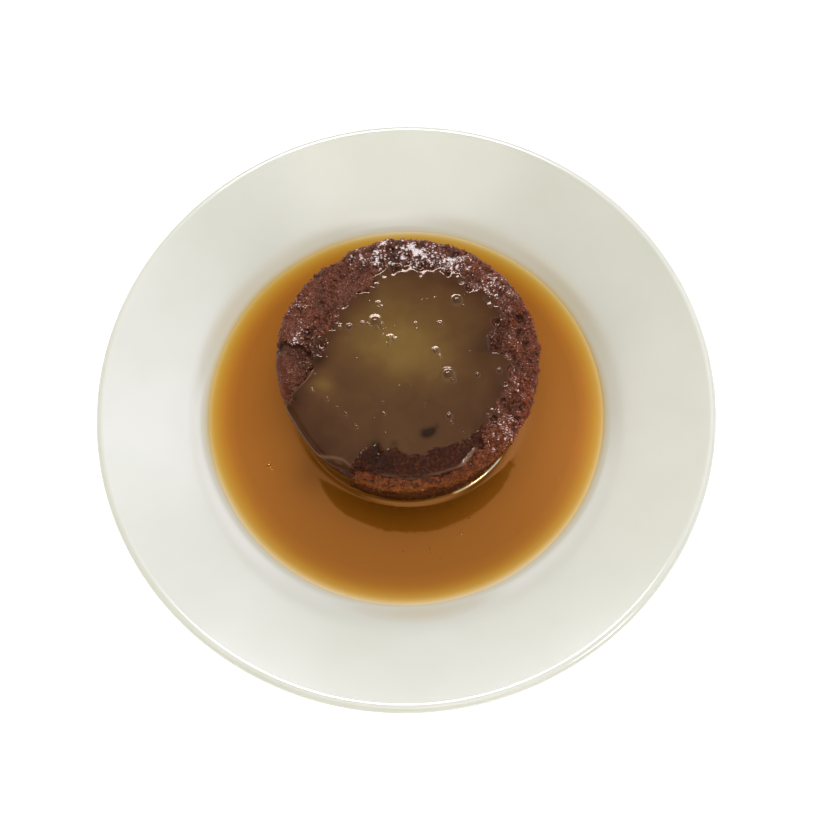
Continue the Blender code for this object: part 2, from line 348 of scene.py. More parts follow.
@dataclass(frozen=True)
class GlazedPorcelain:
    """White porcelain under a clear fired glaze: a soft, faintly warm white, its gloss never dead flat."""

    body: str = "#E9E9E1"
    shade: str = "#E3E4DA"
    painted_light: str = "#FDFDF8"  # painted light: the paler white painted on parts of the wall
    drift_mm: float = 38.0  # body and shade drift into each other over this distance
    stain_mm: float = 0.12  # sauce of this depth hides the china
    roughness: float = 0.16
    ior: float = 1.52  # fired silicate glaze
    ripple_mm: float = 14.0  # the glaze lies in ripples about as wide as a fingertip
    ripple_depth_mm: float = 0.02

    def make(self, sauce: ToffeeSauce) -> bpy.types.Material:
        """Makes the material. It reads "depth" and "pale", which the plate paints on its mesh.

        Args:
            sauce: The sauce whose thin edge shows on the china.

        Returns:
            The material.
        """
        uniform = {"Roughness": self.roughness, "IOR": self.ior}
        material, tree, shader = new_material("glazed_porcelain", uniform)
        place = add_node(tree, "TexCoord").outputs["Object"]
        depth = attribute(tree, "depth")
        painted_light = attribute(tree, "painted_light")
        field = {"Vector": place, "Scale": 1 / (self.drift_mm * MM), "Detail": 3.0}
        drift = add_node(tree, "TexNoise", field)
        stops = ((0.35, self.shade), (0.65, self.body))
        colour = add_node(tree, "ValToRGB", {"Fac": drift.outputs["Fac"]}, stops=stops).outputs["Color"]
        stained = add_node(tree, "MapRange", {"Value": depth, "From Min": 0.0, "From Max": self.stain_mm})
        layers = ((painted_light, linear(self.painted_light)), (stained.outputs["Result"], sauce.tint(tree, depth)))
        for share, over in layers:
            colour = blend(tree, share, colour, over)
        tree.links.new(colour, shader.inputs["Base Color"])
        field = {"Vector": place, "Scale": 1 / (self.ripple_mm * MM), "Detail": 2.0}
        ripple = add_node(tree, "TexNoise", field).outputs["Fac"]
        relief = {"Height": ripple, "Distance": self.ripple_depth_mm * MM, "Strength": 1.0}
        bump = add_node(tree, "Bump", relief)
        tree.links.new(bump.outputs["Normal"], shader.inputs["Normal"])
        return material


@dataclass(frozen=True)
class MoistDateSponge:
    """Dark baked date sponge soaked in toffee: red-brown crumb, holes made near black with painted shade, and a
    painted wet sparkle.
    """

    # painted shade: the colour deep in the crumb's holes and gaps
    hollow_shade: str = "#220803"
    crumb: str = "#58240F"
    crest: str = "#8E4624"
    plum: str = "#46221A"  # the smooth skin
    ember: str = "#AE4A1A"  # painted light at the edge, where light comes through the wet crumb
    gold: str = "#9A5A1C"  # the front side's top: thin sauce over crumb, with painted light where light falls on it
    # soaked crumb, and painted shade: low on the side, beside the glaze and in deep places
    soaked: str = "#2C1004"
    # painted highlight: the pale specks where wet facets glint
    sparkle: str = "#F6EEF2"
    roughness: float = 0.3
    ior: float = 1.45  # sugar syrup
    gloss: float = 0.42
    mirror: str = "#FFB496"  # the crumb's own red in what its wet crevices mirror
    crumb_mm: float = 1.3
    grain_mm: float = 0.5
    mottle_mm: float = 4.5
    bump_mm: float = 0.4
    sparkle_mm: float = 0.75  # wet facets about as large as a grain of sugar
    sparkle_stretch: Row = (0.8, 1.5, 1.2)  # they lie a little longer from side to side
    sparkle_least: float = 0.7  # of the noise, where nothing gleams
    sparkle_gain: float = 0.33  # how far a full gleam lowers that
    sparkle_edge: float = 0.07

    def make(self) -> bpy.types.Material:
        """The material. It reads the numbers that the sponge paints on its mesh."""
        uniform = {
            "Roughness": self.roughness,
            "IOR": self.ior,
            "Specular IOR Level": self.gloss,
            "Specular Tint": linear(self.mirror),
        }
        material, tree, shader = new_material("moist_date_sponge", uniform)
        place = add_node(tree, "TexCoord").outputs["Object"]
        names = ("height", "skin", "ember", "gold", "soak_and_shade", "gleam")
        painted = {name: attribute(tree, name) for name in names}
        cells = add_node(tree, "TexVoronoi", {"Vector": place, "Scale": 1 / (self.crumb_mm * MM)})
        cell = cells.outputs["Distance"]
        field = {"Vector": place, "Scale": 1 / (self.grain_mm * MM), "Detail": 2.0}
        grain = add_node(tree, "TexNoise", field).outputs["Fac"]
        field = {"Vector": place, "Scale": 1 / (self.mottle_mm * MM), "Detail": 4.0}
        mottle = add_node(tree, "TexNoise", field).outputs["Fac"]

        # The tint follows the relief, with painted shade: the painted height, less the gaps between crumbs, and
        # the fine grain, so holes and gaps are dark and crests light
        gaps = add_node(tree, "Math", {0: cell, 1: -0.3}, operation="MULTIPLY").outputs[0]
        raised = add_node(tree, "Math", {0: painted["height"], 1: gaps}, operation="ADD").outputs[0]
        fine = add_node(tree, "Math", {0: grain, 1: 0.9, 2: -0.42}, operation="MULTIPLY_ADD").outputs[0]
        level = add_node(tree, "Math", {0: raised, 1: fine}, operation="ADD").outputs[0]
        stops = ((0.08, self.hollow_shade), (0.85, self.crest), (0.4, self.crumb))
        colour = add_node(tree, "ValToRGB", {"Fac": level}, stops=stops).outputs["Color"]

        # Painted highlights: pale specks mixed into the colour where the wet crumb would glint
        longer = {0: place, 1: self.sparkle_stretch}
        stretched = add_node(tree, "VectorMath", longer, operation="MULTIPLY").outputs[0]
        field = {"Vector": stretched, "Scale": 1 / (self.sparkle_mm * MM), "Detail": 2.0, "Roughness": 0.7}
        specks = add_node(tree, "TexNoise", field).outputs["Fac"]
        gain = {0: painted["gleam"], 1: self.sparkle_gain, 2: -self.sparkle_least}
        reach = add_node(tree, "Math", gain, operation="MULTIPLY_ADD").outputs[0]
        over = add_node(tree, "Math", {0: specks, 1: reach}, operation="ADD").outputs[0]
        glint = add_node(tree, "MapRange", {"Value": over, "From Min": 0.0, "From Max": self.sparkle_edge})

        tints = (("skin", mottle, self.plum), ("ember", level, self.ember), ("gold", level, self.gold))
        for name, factor, over in tints:
            share = add_node(tree, "Math", {0: factor, 1: painted[name]}, operation="MULTIPLY").outputs[0]
            colour = blend(tree, share, colour, linear(over))
        colour = blend(tree, painted["soak_and_shade"], colour, linear(self.soaked))
        colour = blend(tree, glint.outputs["Result"], colour, linear(self.sparkle))
        tree.links.new(colour, shader.inputs["Base Color"])

        dips = add_node(tree, "Math", {0: cell, 1: -0.7}, operation="MULTIPLY").outputs[0]
        relief = add_node(tree, "Math", {0: dips, 1: grain}, operation="ADD").outputs[0]
        bump = add_node(tree, "Bump", {"Height": relief, "Distance": self.bump_mm * MM, "Strength": 1.0})
        tree.links.new(bump.outputs["Normal"], shader.inputs["Normal"])
        return material


@dataclass(frozen=True)
class ToffeeGlaze:
    """Poured toffee sauce over dark sponge: milky olive-tan where it lies deep, brown where it thins."""

    # The milky colours also carry a painted reflection: a faint grey sheen of the sky, added in as the gloss is
    # low
    film: str = "#3A1C0C"
    thin: str = "#50321D"
    body: str = "#644626"
    deep: str = "#806432"
    # painted shade in holes under the sauce, and the dark sponge seen through it
    pit: str = "#120402"
    # painted highlight: the pale line along the rolled lip and round the bubbles' rims
    lip: str = "#8A6A54"
    # The crumb under a film, mottled, with painted shade in its holes: in its holes, on its face and on its
    # crests
    under: tuple[str, str, str] = ("#1E0604", "#361004", "#5C290C")
    crumb_mm: float = 1.1
    crumb_rise: float = 1.4  # of the crumb under a film, against the ripples
    swirl_mm: float = 9.0
    swirl_share: float = 0.34
    ripple_mm: float = 5.0
    ripple_depth_mm: float = 0.05
    roughness: float = 0.1
    ior: float = 1.47  # butter and sugar syrup
    gloss: float = 0.17
    mirror: str = "#FFE2D0"  # the warm cast that the sauce's skin gives to what it mirrors

    def make(self) -> bpy.types.Material:
        """The material. It reads "milk", "film", "pit" and "lip", which the glaze paints on its mesh."""
        uniform = {
            "Roughness": self.roughness,
            "IOR": self.ior,
            "Specular IOR Level": self.gloss,
            "Specular Tint": linear(self.mirror),
        }
        material, tree, shader = new_material("toffee_glaze_over_sponge", uniform)
        place = add_node(tree, "TexCoord").outputs["Object"]
        painted = {name: attribute(tree, name) for name in ("milk", "film", "pit", "lip")}

        field = {"Vector": place, "Scale": 1 / (self.swirl_mm * MM), "Detail": 4.0, "Distortion": 0.6}
        swirl = add_node(tree, "TexNoise", field).outputs["Fac"]
        centred = {0: swirl, 1: self.swirl_share, 2: -self.swirl_share / 2}
        shift = add_node(tree, "Math", centred, operation="MULTIPLY_ADD").outputs[0]
        level = add_node(tree, "Math", {0: painted["milk"], 1: shift}, operation="ADD").outputs[0]
        stops = ((0.0, self.film), (1.0, self.deep), (0.25, self.thin), (0.6, self.body))
        colour = add_node(tree, "ValToRGB", {"Fac": level}, stops=stops).outputs["Color"]

        field = {"Vector": place, "Scale": 1 / (self.crumb_mm * MM), "Detail": 3.0, "Roughness": 0.7}
        crumb = add_node(tree, "TexNoise", field).outputs["Fac"]
        hole_shade, face, crest = self.under
        stops = ((0.34, hole_shade), (0.7, crest), (0.52, face))
        under = add_node(tree, "ValToRGB", {"Fac": crumb}, stops=stops).outputs["Color"]
        layers = (("film", under), ("pit", linear(self.pit)), ("lip", linear(self.lip)))
        for name, over in layers:
            colour = blend(tree, painted[name], colour, over)
        tree.links.new(colour, shader.inputs["Base Color"])

        field = {"Vector": place, "Scale": 1 / (self.ripple_mm * MM), "Detail": 2.0}
        ripple = add_node(tree, "TexNoise", field).outputs["Fac"]
        rough = add_node(tree, "Math", {0: crumb, 1: painted["film"]}, operation="MULTIPLY").outputs[0]
        summed = {0: rough, 1: self.crumb_rise, 2: ripple}
        height = add_node(tree, "Math", summed, operation="MULTIPLY_ADD").outputs[0]
        relief = {"Height": height, "Distance": self.ripple_depth_mm * MM, "Strength": 1.0}
        bump = add_node(tree, "Bump", relief)
        tree.links.new(bump.outputs["Normal"], shader.inputs["Normal"])
        return material


@dataclass(frozen=True)
class StudioPaper:
    """Matt white background paper."""

    colour: str = "#F7F7F5"
    roughness: float = 0.9
    gloss: float = 0.1
    glow: float = 0.45  # lifts the shadow under the rim, as a lit sweep does

    def make(self) -> bpy.types.Material:
        """The material."""
        uniform = {
            "Base Color": linear(self.colour),
            "Roughness": self.roughness,
            "Specular IOR Level": self.gloss,
            "Emission Color": linear("#FFFFFF"),
            "Emission Strength": self.glow,
        }
        return new_material("studio_paper", uniform)[0]


# ------------------------------------------------------------------------------------------------ shapes


@dataclass(frozen=True)
class PlateForm:
    """The plate's half section: floor, well wall, crease, sloping rim, rounded lip and foot ring."""

    radius: float = 115.0
    floor_z: float = 6.0
    floor_radius: float = 60.5
    well_curve: float = 30.0
    crease_slope: float = math.radians(42.0)
    crease_curve: float = 8.0
    rim_slope: float = math.radians(24.0)
    lip_radius: float = 2.1
    foot_outer: float = 58.0
    foot_width: float = 5.0
    foot_draft: float = 1.2
    foot_height: float = 2.0
    softness: float = 3.2  # the fired glaze rounds the well's creases over about this distance

    def centres(self) -> tuple[Row, Row]:
        """The centres that the well's wall and the crease above it turn about, as (radius, z)."""
        wall = (self.floor_radius, self.floor_z + self.well_curve)
        away = self.well_curve + self.crease_curve
        crease = (wall[0] + away * math.sin(self.crease_slope), wall[1] - away * math.cos(self.crease_slope))
        return wall, crease

    def top_line(self) -> np.ndarray:
        """The eating surface before the glaze softens it: (radius, z) rows from the middle to the lip."""
        well_centre, crease_centre = self.centres()
        wall = self.arc(well_centre, self.well_curve, 0.0, self.crease_slope, 16)
        turned = (math.pi + self.crease_slope, math.pi + self.rim_slope)
        crease = self.arc(crease_centre, self.crease_curve, *turned, 8)
        lip_radius = self.radius - self.lip_radius * (1.0 + math.sin(self.rim_slope))
        lip_z = crease[-1][1] + (lip_radius - crease[-1][0]) * math.tan(self.rim_slope)
        return np.array([(0.0, self.floor_z), *wall, *crease[1:], (lip_radius, lip_z)])

    def well_z(self, radius: np.ndarray) -> np.ndarray:
        """Height of the glazed eating surface at a radius, with its creases rounded."""
        line = self.top_line()
        offsets = np.linspace(-2.2, 2.2, 23) * self.softness
        weights = bell(offsets, 1.2 * self.softness) / bell(offsets, 1.2 * self.softness).sum()
        spread = np.minimum(1.0, (line[-1, 0] - radius) / (2.2 * self.softness))[..., None] * offsets
        return (np.interp(radius[..., None] + spread, line[:, 0], line[:, 1]) * weights).sum(axis=-1)

    def arc(self, centre: Row, radius: float, start: float, end: float, count: int) -> list[Row]:
        """Points on an arc.

        Args:
            centre: Its centre's radius and z.
            radius: Its own radius.
            start: The first angle, from straight down towards the outside.
            end: The last angle.
            count: How many steps it takes.

        Returns:
            Points as (radius, z).
        """
        angles = [start + (end - start) * i / count for i in range(count + 1)]
        return [(centre[0] + radius * math.sin(a), centre[1] - radius * math.cos(a)) for a in angles]

    def outline(self) -> np.ndarray:
        """The closed half section as (radius, z) rows, from the middle out over the lip and back under."""
        thick = 2 * self.lip_radius
        line = self.top_line()
        well_centre, crease_centre = self.centres()
        turned = (math.pi + self.crease_slope, math.pi + self.rim_slope)
        floor, wall = np.linspace(54.0, 70.0, 12), np.linspace(71.0, 90.0, 39)
        rim = np.linspace(91.0, line[-1, 0] - 0.3, 24)
        top_radius = np.concatenate([[15.0, 35.0, 50.0], floor, wall, rim])
        top = np.stack([top_radius, self.well_z(top_radius)], axis=-1).tolist()
        lip_z = line[-1, 1] - self.lip_radius * math.cos(self.rim_slope)
        lip = self.arc((self.radius - self.lip_radius, lip_z), self.lip_radius, turned[1], self.rim_slope, 18)
        under_crease = self.arc(crease_centre, self.crease_curve - thick, *turned, 8)
        under_wall = self.arc(well_centre, self.well_curve + thick, 0.0, self.crease_slope, 16)
        under_wall = [p for p in under_wall if p[0] > self.foot_outer + self.foot_draft]
        inner = self.foot_outer - self.foot_width
        foot = [
            (self.foot_outer + 0.05, self.foot_draft),
            (self.foot_outer, self.foot_draft / 2),
            (self.foot_outer - self.foot_draft / 4, self.foot_draft / 8),
            (self.foot_outer - self.foot_draft / 2, 0.0),
            (inner + self.foot_draft / 2, 0.0),
            (inner + self.foot_draft / 4, self.foot_draft / 8),
            (inner, self.foot_draft / 2),
            (inner - self.foot_draft, self.foot_height),
            (inner - self.foot_draft * 2, self.foot_height),
            (20.0, self.foot_height),
        ]
        return np.array(top + lip + under_crease[::-1] + under_wall[::-1] + foot)


@dataclass(frozen=True)
class PuddingForm:
    """The baked round's smooth form, and where the sauce lies on it. Its main figures are the solids' too."""

    middle: Row = (1.8, 6.0)
    radius: float = 47.7
    top_z: float = 49.5
    dish: float = 1.0
    edge_curve: float = 4.5
    taper: float = math.radians(7.5)
    pool_z: float = 10.5
    # Where the side stands out or in: (bearing, spread, mm)
    out_of_true: tuple[Row, ...] = ((207.0, 20.0, -2.4), (335.0, 25.0, -0.5), (100.0, 30.0, 0.4))
    # How far along the surface the full glaze runs: (bearing, along)
    reach: tuple[Row, ...] = (
        (0.0, 28.5),
        (11.0, 30.0),
        (17.0, 35.0),
        (26.0, 36.8),
        (37.0, 36.5),
        (45.0, 33.5),
        (57.0, 34.2),
        (66.0, 35.5),
        (83.0, 34.0),
        (96.0, 34.1),
        (104.0, 34.0),
        (111.0, 29.4),
        (125.0, 28.2),
        (139.0, 29.0),
        (146.0, 27.6),
        (154.0, 28.4),
        (162.0, 30.2),
        (174.0, 29.8),
        (183.0, 33.6),
        (189.0, 37.0),
        (197.0, 44.8),
        (210.0, 46.0),
        (235.0, 46.0),
        (248.0, 45.0),
        (262.0, 45.0),
        (275.0, 45.6),
        (288.0, 45.8),
        (295.0, 44.0),
        (303.0, 41.5),
        (310.0, 37.5),
        (330.0, 35.8),
        (341.0, 36.0),
        (349.0, 37.2),
        (355.0, 35.0),
    )
    curtain_bearing: float = 221.0
    curtain_half_width: float = 22.0
    curtain_narrows: float = 5.0
    curtain_length: float = 34.0  # down the side
    curtain_root: float = 13.0  # how far in from the top's edge it starts
    body: float = 0.85  # thickness of the glaze where it lies full
    curtain: float = 0.8
    film: float = 0.3
    # How steeply the glaze starts at its edge: (bearing, rise over run)
    edge_slope: tuple[Row, ...] = (
        (0.0, 0.9),
        (60.0, 0.8),
        (72.0, 0.42),
        (102.0, 0.42),
        (112.0, 0.9),
        (300.0, 1.0),
    )
    # How far the crust stands flush with the sauce at its edge: (bearing, share)
    flush: tuple[Row, ...] = (
        (0.0, 1.0),
        (58.0, 1.0),
        (70.0, 0.75),
        (104.0, 0.75),
        (114.0, 1.0),
        (182.0, 1.0),
        (190.0, 0.2),
        (197.0, 0.0),
        (300.0, 0.0),
        (308.0, 1.0),
    )
    # Where the full glaze ends at the front and only a film runs on over the crumb: (bearing, along)
    film_start: tuple[Row, ...] = (
        (0.0, 60.0),
        (238.0, 60.0),
        (243.0, 38.0),
        (246.0, 35.6),
        (249.0, 34.2),
        (253.0, 36.0),
        (257.0, 34.8),
        (260.0, 34.2),
        (263.0, 36.0),
        (268.0, 36.8),
        (274.0, 37.0),
        (281.0, 35.6),
        (286.0, 35.8),
        (292.0, 37.2),
        (301.0, 37.6),
        (310.0, 37.2),
        (318.0, 38.0),
        (326.0, 60.0),
    )
    # How deep the pool looks at a distance from the plate's middle: (distance, depth)
    fade: tuple[Row, ...] = (
        (0.0, 5.0),
        (64.0, 4.6),
        (68.0, 3.6),
        (70.0, 3.0),
        (72.0, 2.35),
        (74.0, 1.52),
        (75.0, 1.08),
        (76.0, 0.66),
        (77.0, 0.38),
        (78.0, 0.19),
        (79.0, 0.07),
        (80.0, 0.0),
    )
    # How far the pool's shore wanders outwards: (bearing, mm)
    shore_shift: tuple[Row, ...] = (
        (0.0, 0.0),
        (30.0, -0.1),
        (60.0, -0.5),
        (90.0, -0.9),
        (115.0, 0.0),
        (135.0, 0.4),
        (160.0, 0.1),
        (180.0, 0.1),
        (210.0, -0.9),
        (300.0, -1.0),
        (330.0, -0.4),
    )
    # Places inside the glaze that stand out of it, as (bearing, along, radius)
    islands: tuple[Row, ...] = ((2.0, 32.0, 3.0), (9.0, 32.5, 2.6), (17.0, 34.5, 2.0), (168.0, 30.5, 1.6))

    @property
    def flat_end(self) -> float:
        """How far along the surface the top turns over into the edge."""
        return self.radius - self.edge_curve

    @property
    def side_start(self) -> float:
        """How far along the surface the edge ends and the side starts."""
        return self.flat_end + self.edge_curve * (math.pi / 2 + self.taper)

    def section(self, along: np.ndarray) -> tuple[np.ndarray, np.ndarray, np.ndarray, np.ndarray]:
        """The smooth surface.

        Args:
            along: Distances over it from the middle of the top.

        Returns:
            The radius and z there, and the radius and z parts of the normal.
        """
        turn = np.clip((along - self.flat_end) / self.edge_curve, 0.0, math.pi / 2 + self.taper)
        down = np.maximum(along - self.side_start, 0.0)
        share = np.minimum(along / self.flat_end, 1.0)
        radius = np.minimum(along, self.flat_end) + self.edge_curve * np.sin(turn)
        radius = radius - down * math.sin(self.taper)
        sunk = self.dish * (1.0 - share**2) ** 2
        z = self.top_z - sunk - self.edge_curve * (1.0 - np.cos(turn)) - down * math.cos(self.taper)
        return radius, z, np.sin(turn), np.cos(turn)

    def local(self, bearing: np.ndarray, along: np.ndarray) -> np.ndarray:
        """Points of the smooth surface about the pudding's own axis."""
        radius, z, _, _ = self.section(along)
        turn = np.radians(bearing)
        return np.stack(np.broadcast_arrays(radius * np.cos(turn), radius * np.sin(turn), z), axis=-1)

    def point(self, bearing: np.ndarray, along: np.ndarray, lift: np.ndarray | float = 0.0) -> np.ndarray:
        """Points over the real, slightly untrue surface.

        Args:
            bearing: Bearings in degrees.
            along: Distances over the surface from the middle of the top.
            lift: How far off the surface, along its normal.

        Returns:
            Points in the plate's frame, with x, y, z on the last axis.
        """
        radius, z, out, up = self.section(along)
        turn = np.radians(bearing)
        rise = np.maximum(0.0, (z - self.pool_z) / (self.top_z - self.pool_z))
        outwards = sum(mm * bell(apart(bearing, middle), spread) for middle, spread, mm in self.out_of_true)
        radius = radius * (1.0 + rise * outwards / self.radius) + lift * out
        x = self.middle[0] + radius * np.cos(turn)
        y = self.middle[1] + radius * np.sin(turn)
        return np.stack(np.broadcast_arrays(x, y, z + lift * up), axis=-1)

    def side_radius(self, bearing: np.ndarray, z: float) -> np.ndarray:
        """Radius of the side at a height, about the pudding's axis."""
        corner_z = self.top_z - self.edge_curve * (1.0 + math.sin(self.taper))
        corner = self.flat_end + self.edge_curve * math.cos(self.taper)
        return corner - (corner_z - z) * math.tan(self.taper) + 0.0 * bearing

    def away(self, bearing: np.ndarray, along: np.ndarray, spot: Row) -> np.ndarray:
        """Distance over the surface to a spot given as (bearing, along, ...)."""
        across = np.radians(apart(bearing, spot[0])) * np.minimum(along, self.radius)
        return np.hypot(across, along - spot[1])

    def marks(self, bearing: np.ndarray, along: np.ndarray, spots: Sequence[Row]) -> np.ndarray:
        """The summed strength of soft round marks, each (bearing, along, radius, strength)."""
        return sum(spot[3] * bell(self.away(bearing, along, spot), spot[2]) for spot in spots)

    def glaze_depth(self, bearing: np.ndarray, along: np.ndarray) -> np.ndarray:
        """How far inside the glaze's edge a place lies; negative outside it."""
        cap = round_table(bearing, self.reach) - along
        bottom = self.side_start + self.curtain_length
        narrowing = self.curtain_narrows * smooth(along, self.side_start, bottom)
        half_width = self.curtain_half_width - narrowing
        sideways = np.radians(half_width - np.abs(apart(bearing, self.curtain_bearing))) * self.radius
        curtain = np.minimum(sideways, along - self.flat_end + self.curtain_root)
        return np.maximum(cap, curtain)

    def bank(self, bearing: np.ndarray, along: np.ndarray) -> np.ndarray:
        """How far the crust round the sauce rises to be flush with it, in millimetres."""
        depth = self.glaze_depth(bearing, along)
        level = self.top_z - self.section(np.minimum(along, self.flat_end))[1] + self.body + 0.1
        ramp = smooth(-depth, -1.2, 0.8) * smooth(depth, -9.0, -2.5) * smooth(-along, -46.5, -41.0)
        return level * ramp * round_table(bearing, self.flush)

    def film_share(self, bearing: np.ndarray, along: np.ndarray) -> np.ndarray:
        """1 where only a film of glaze covers the crumb, 0 where it lies full."""
        local = self.local(bearing, along)
        ragged = 0.9 * each(local + 7.0, 2.6, noise.noise) + 0.45 * each(local, 1.2, noise.noise)
        front = smooth(along + ragged - round_table(bearing, self.film_start), -0.5, 0.6)
        islands = sum(bell(self.away(bearing, along, spot) + 0.8 * ragged, spot[2]) for spot in self.islands)
        return np.clip(front + smooth(islands, 0.3, 0.75), 0.0, 1.0)

    def thickness(self, bearing: np.ndarray, along: np.ndarray) -> np.ndarray:
        """Thickness of the glaze; negative outside it, where its sheet dips into the sponge."""
        local = self.local(bearing, along)
        depth = self.glaze_depth(bearing, along)
        ragged = 0.7 * each(local, 4.0, noise.noise) + 0.5 * each(local + 3.0, 1.6, noise.noise)
        side = 1.6 * smooth(apart(bearing, self.curtain_bearing), 2.0, 12.0)
        calm = side + (1.0 - side) * smooth(-along, -47.0, -44.0)
        depth = depth + ragged * smooth(-np.abs(depth), -4.0, 0.0) * calm
        broken = 1.0 + 1.9 * each(local + 11.0, 2.4, noise.noise)
        run_on = 2.6 * round_table(bearing, self.flush)  # under the crust that is flush with it
        depth = depth + run_on * broken
        body = self.body + (self.curtain - self.body) * smooth(along, self.flat_end, self.side_start)
        body = body + (self.film - body) * self.film_share(bearing, along) * smooth(-along, -47.5, -46.0)
        end = smooth(apart(bearing, self.curtain_bearing), 3.0, 21.0) * smooth(along, 44.0, 48.0)
        body = body * (1.0 - 0.75 * end)  # the run-off thins towards the front
        slope = round_table(bearing, self.edge_slope)
        inside = body * np.tanh(slope * np.maximum(depth, 0.0) / body)
        return np.where(depth > 0.0, inside, 0.7 * np.maximum(depth, -1.3))

    def sauce_depth(self, bearing: np.ndarray, radius: np.ndarray) -> np.ndarray:
        """How deep the pool looks by its colour, in millimetres, at a place about the plate's middle."""
        places, depths = zip(*self.fade)
        return np.interp(radius - round_table(bearing, self.shore_shift), places, depths)


@dataclass
class ChinaPlate:
    """The plate, turned finely from its half section."""

    form: PlateForm
    pudding: PuddingForm
    finish: GlazedPorcelain = GlazedPorcelain()
    sauce: ToffeeSauce = ToffeeSauce()
    columns: int = 288
    painted_light_at: float = 79.4  # the radius where the painted light on the wall is strongest
    painted_light_width: float = 3.5
    cast_at: float = 79.5  # the radius where the painted cast is strongest: the sauce's reflected colour on the wall
    cast_width: float = 4.0
    # Painted light: how strongly the wall is painted paler at each bearing: (bearing, strength)
    painted_light_by_bearing: tuple[Row, ...] = (
        (0.0, 0.1),
        (30.0, 0.0),
        (70.0, 0.2),
        (90.0, 1.0),
        (112.0, 0.2),
        (150.0, 0.25),
        (178.0, 1.0),
        (220.0, 1.0),
        (240.0, 0.5),
        (270.0, 0.3),
        (300.0, 0.8),
        (335.0, 0.8),
    )
    # Painted reflection and shade on the wall: the sauce's warm light and the pudding's shade, given as how
    # deep the sauce would have to lie for that colour: (bearing, mm)
    cast: tuple[Row, ...] = (
        (0.0, 0.08),
        (30.0, 0.24),
        (60.0, 0.14),
        (90.0, 0.04),
        (120.0, 0.18),
        (150.0, 0.24),
        (180.0, 0.02),
        (205.0, 0.0),
        (240.0, 0.0),
        (270.0, 0.24),
        (300.0, 0.0),
        (330.0, 0.02),
    )

    def build(self) -> bpy.types.Object:
        """Builds and dresses the plate.

        Returns:
            The piece, which stands for the plate's solid.
        """
        outline = self.form.outline()
        turn = np.radians(np.arange(self.columns) * 360.0 / self.columns)
        radius = outline[:, 0][:, None]
        z = np.broadcast_to(outline[:, 1][:, None], (len(outline), self.columns))
        grid = np.stack([radius * np.cos(turn), radius * np.sin(turn), z], axis=-1)
        mesh = sheet_mesh("china_plate", grid, tip=np.array([[0.0, 0.0, self.form.floor_z]]))
        bearing = np.degrees(turn)[None, :]
        above = z > self.form.well_z(np.minimum(radius, self.form.radius - 6.0)) - 1.0
        # Painted light: a paler band round the wall, stronger at some bearings
        wall = bell(radius - self.painted_light_at, self.painted_light_width) * above
        paint(mesh, "painted_light", wall * round_table(bearing, self.painted_light_by_bearing))
        # Painted reflection and shade: the sauce's colour and the pudding's shade painted on the wall as a thin
        # stain
        cast = round_table(bearing, self.cast) * bell(radius - self.cast_at, self.cast_width)
        paint(mesh, "depth", np.maximum(self.pudding.sauce_depth(bearing, radius), cast) * above)
        shape = bmesh.new()
        shape.from_mesh(mesh)
        shape.verts.ensure_lookup_table()
        last = [v for v in shape.verts if abs(v.co.z - self.form.foot_height * MM) < 1e-7 and v.is_boundary]
        last.sort(key=lambda v: math.atan2(v.co.y, v.co.x))
        shape.faces.new(last[::-1]).smooth = True
        shape.to_mesh(mesh)
        shape.free()
        return add_piece("china_plate", mesh, self.finish.make(self.sauce), "plate")


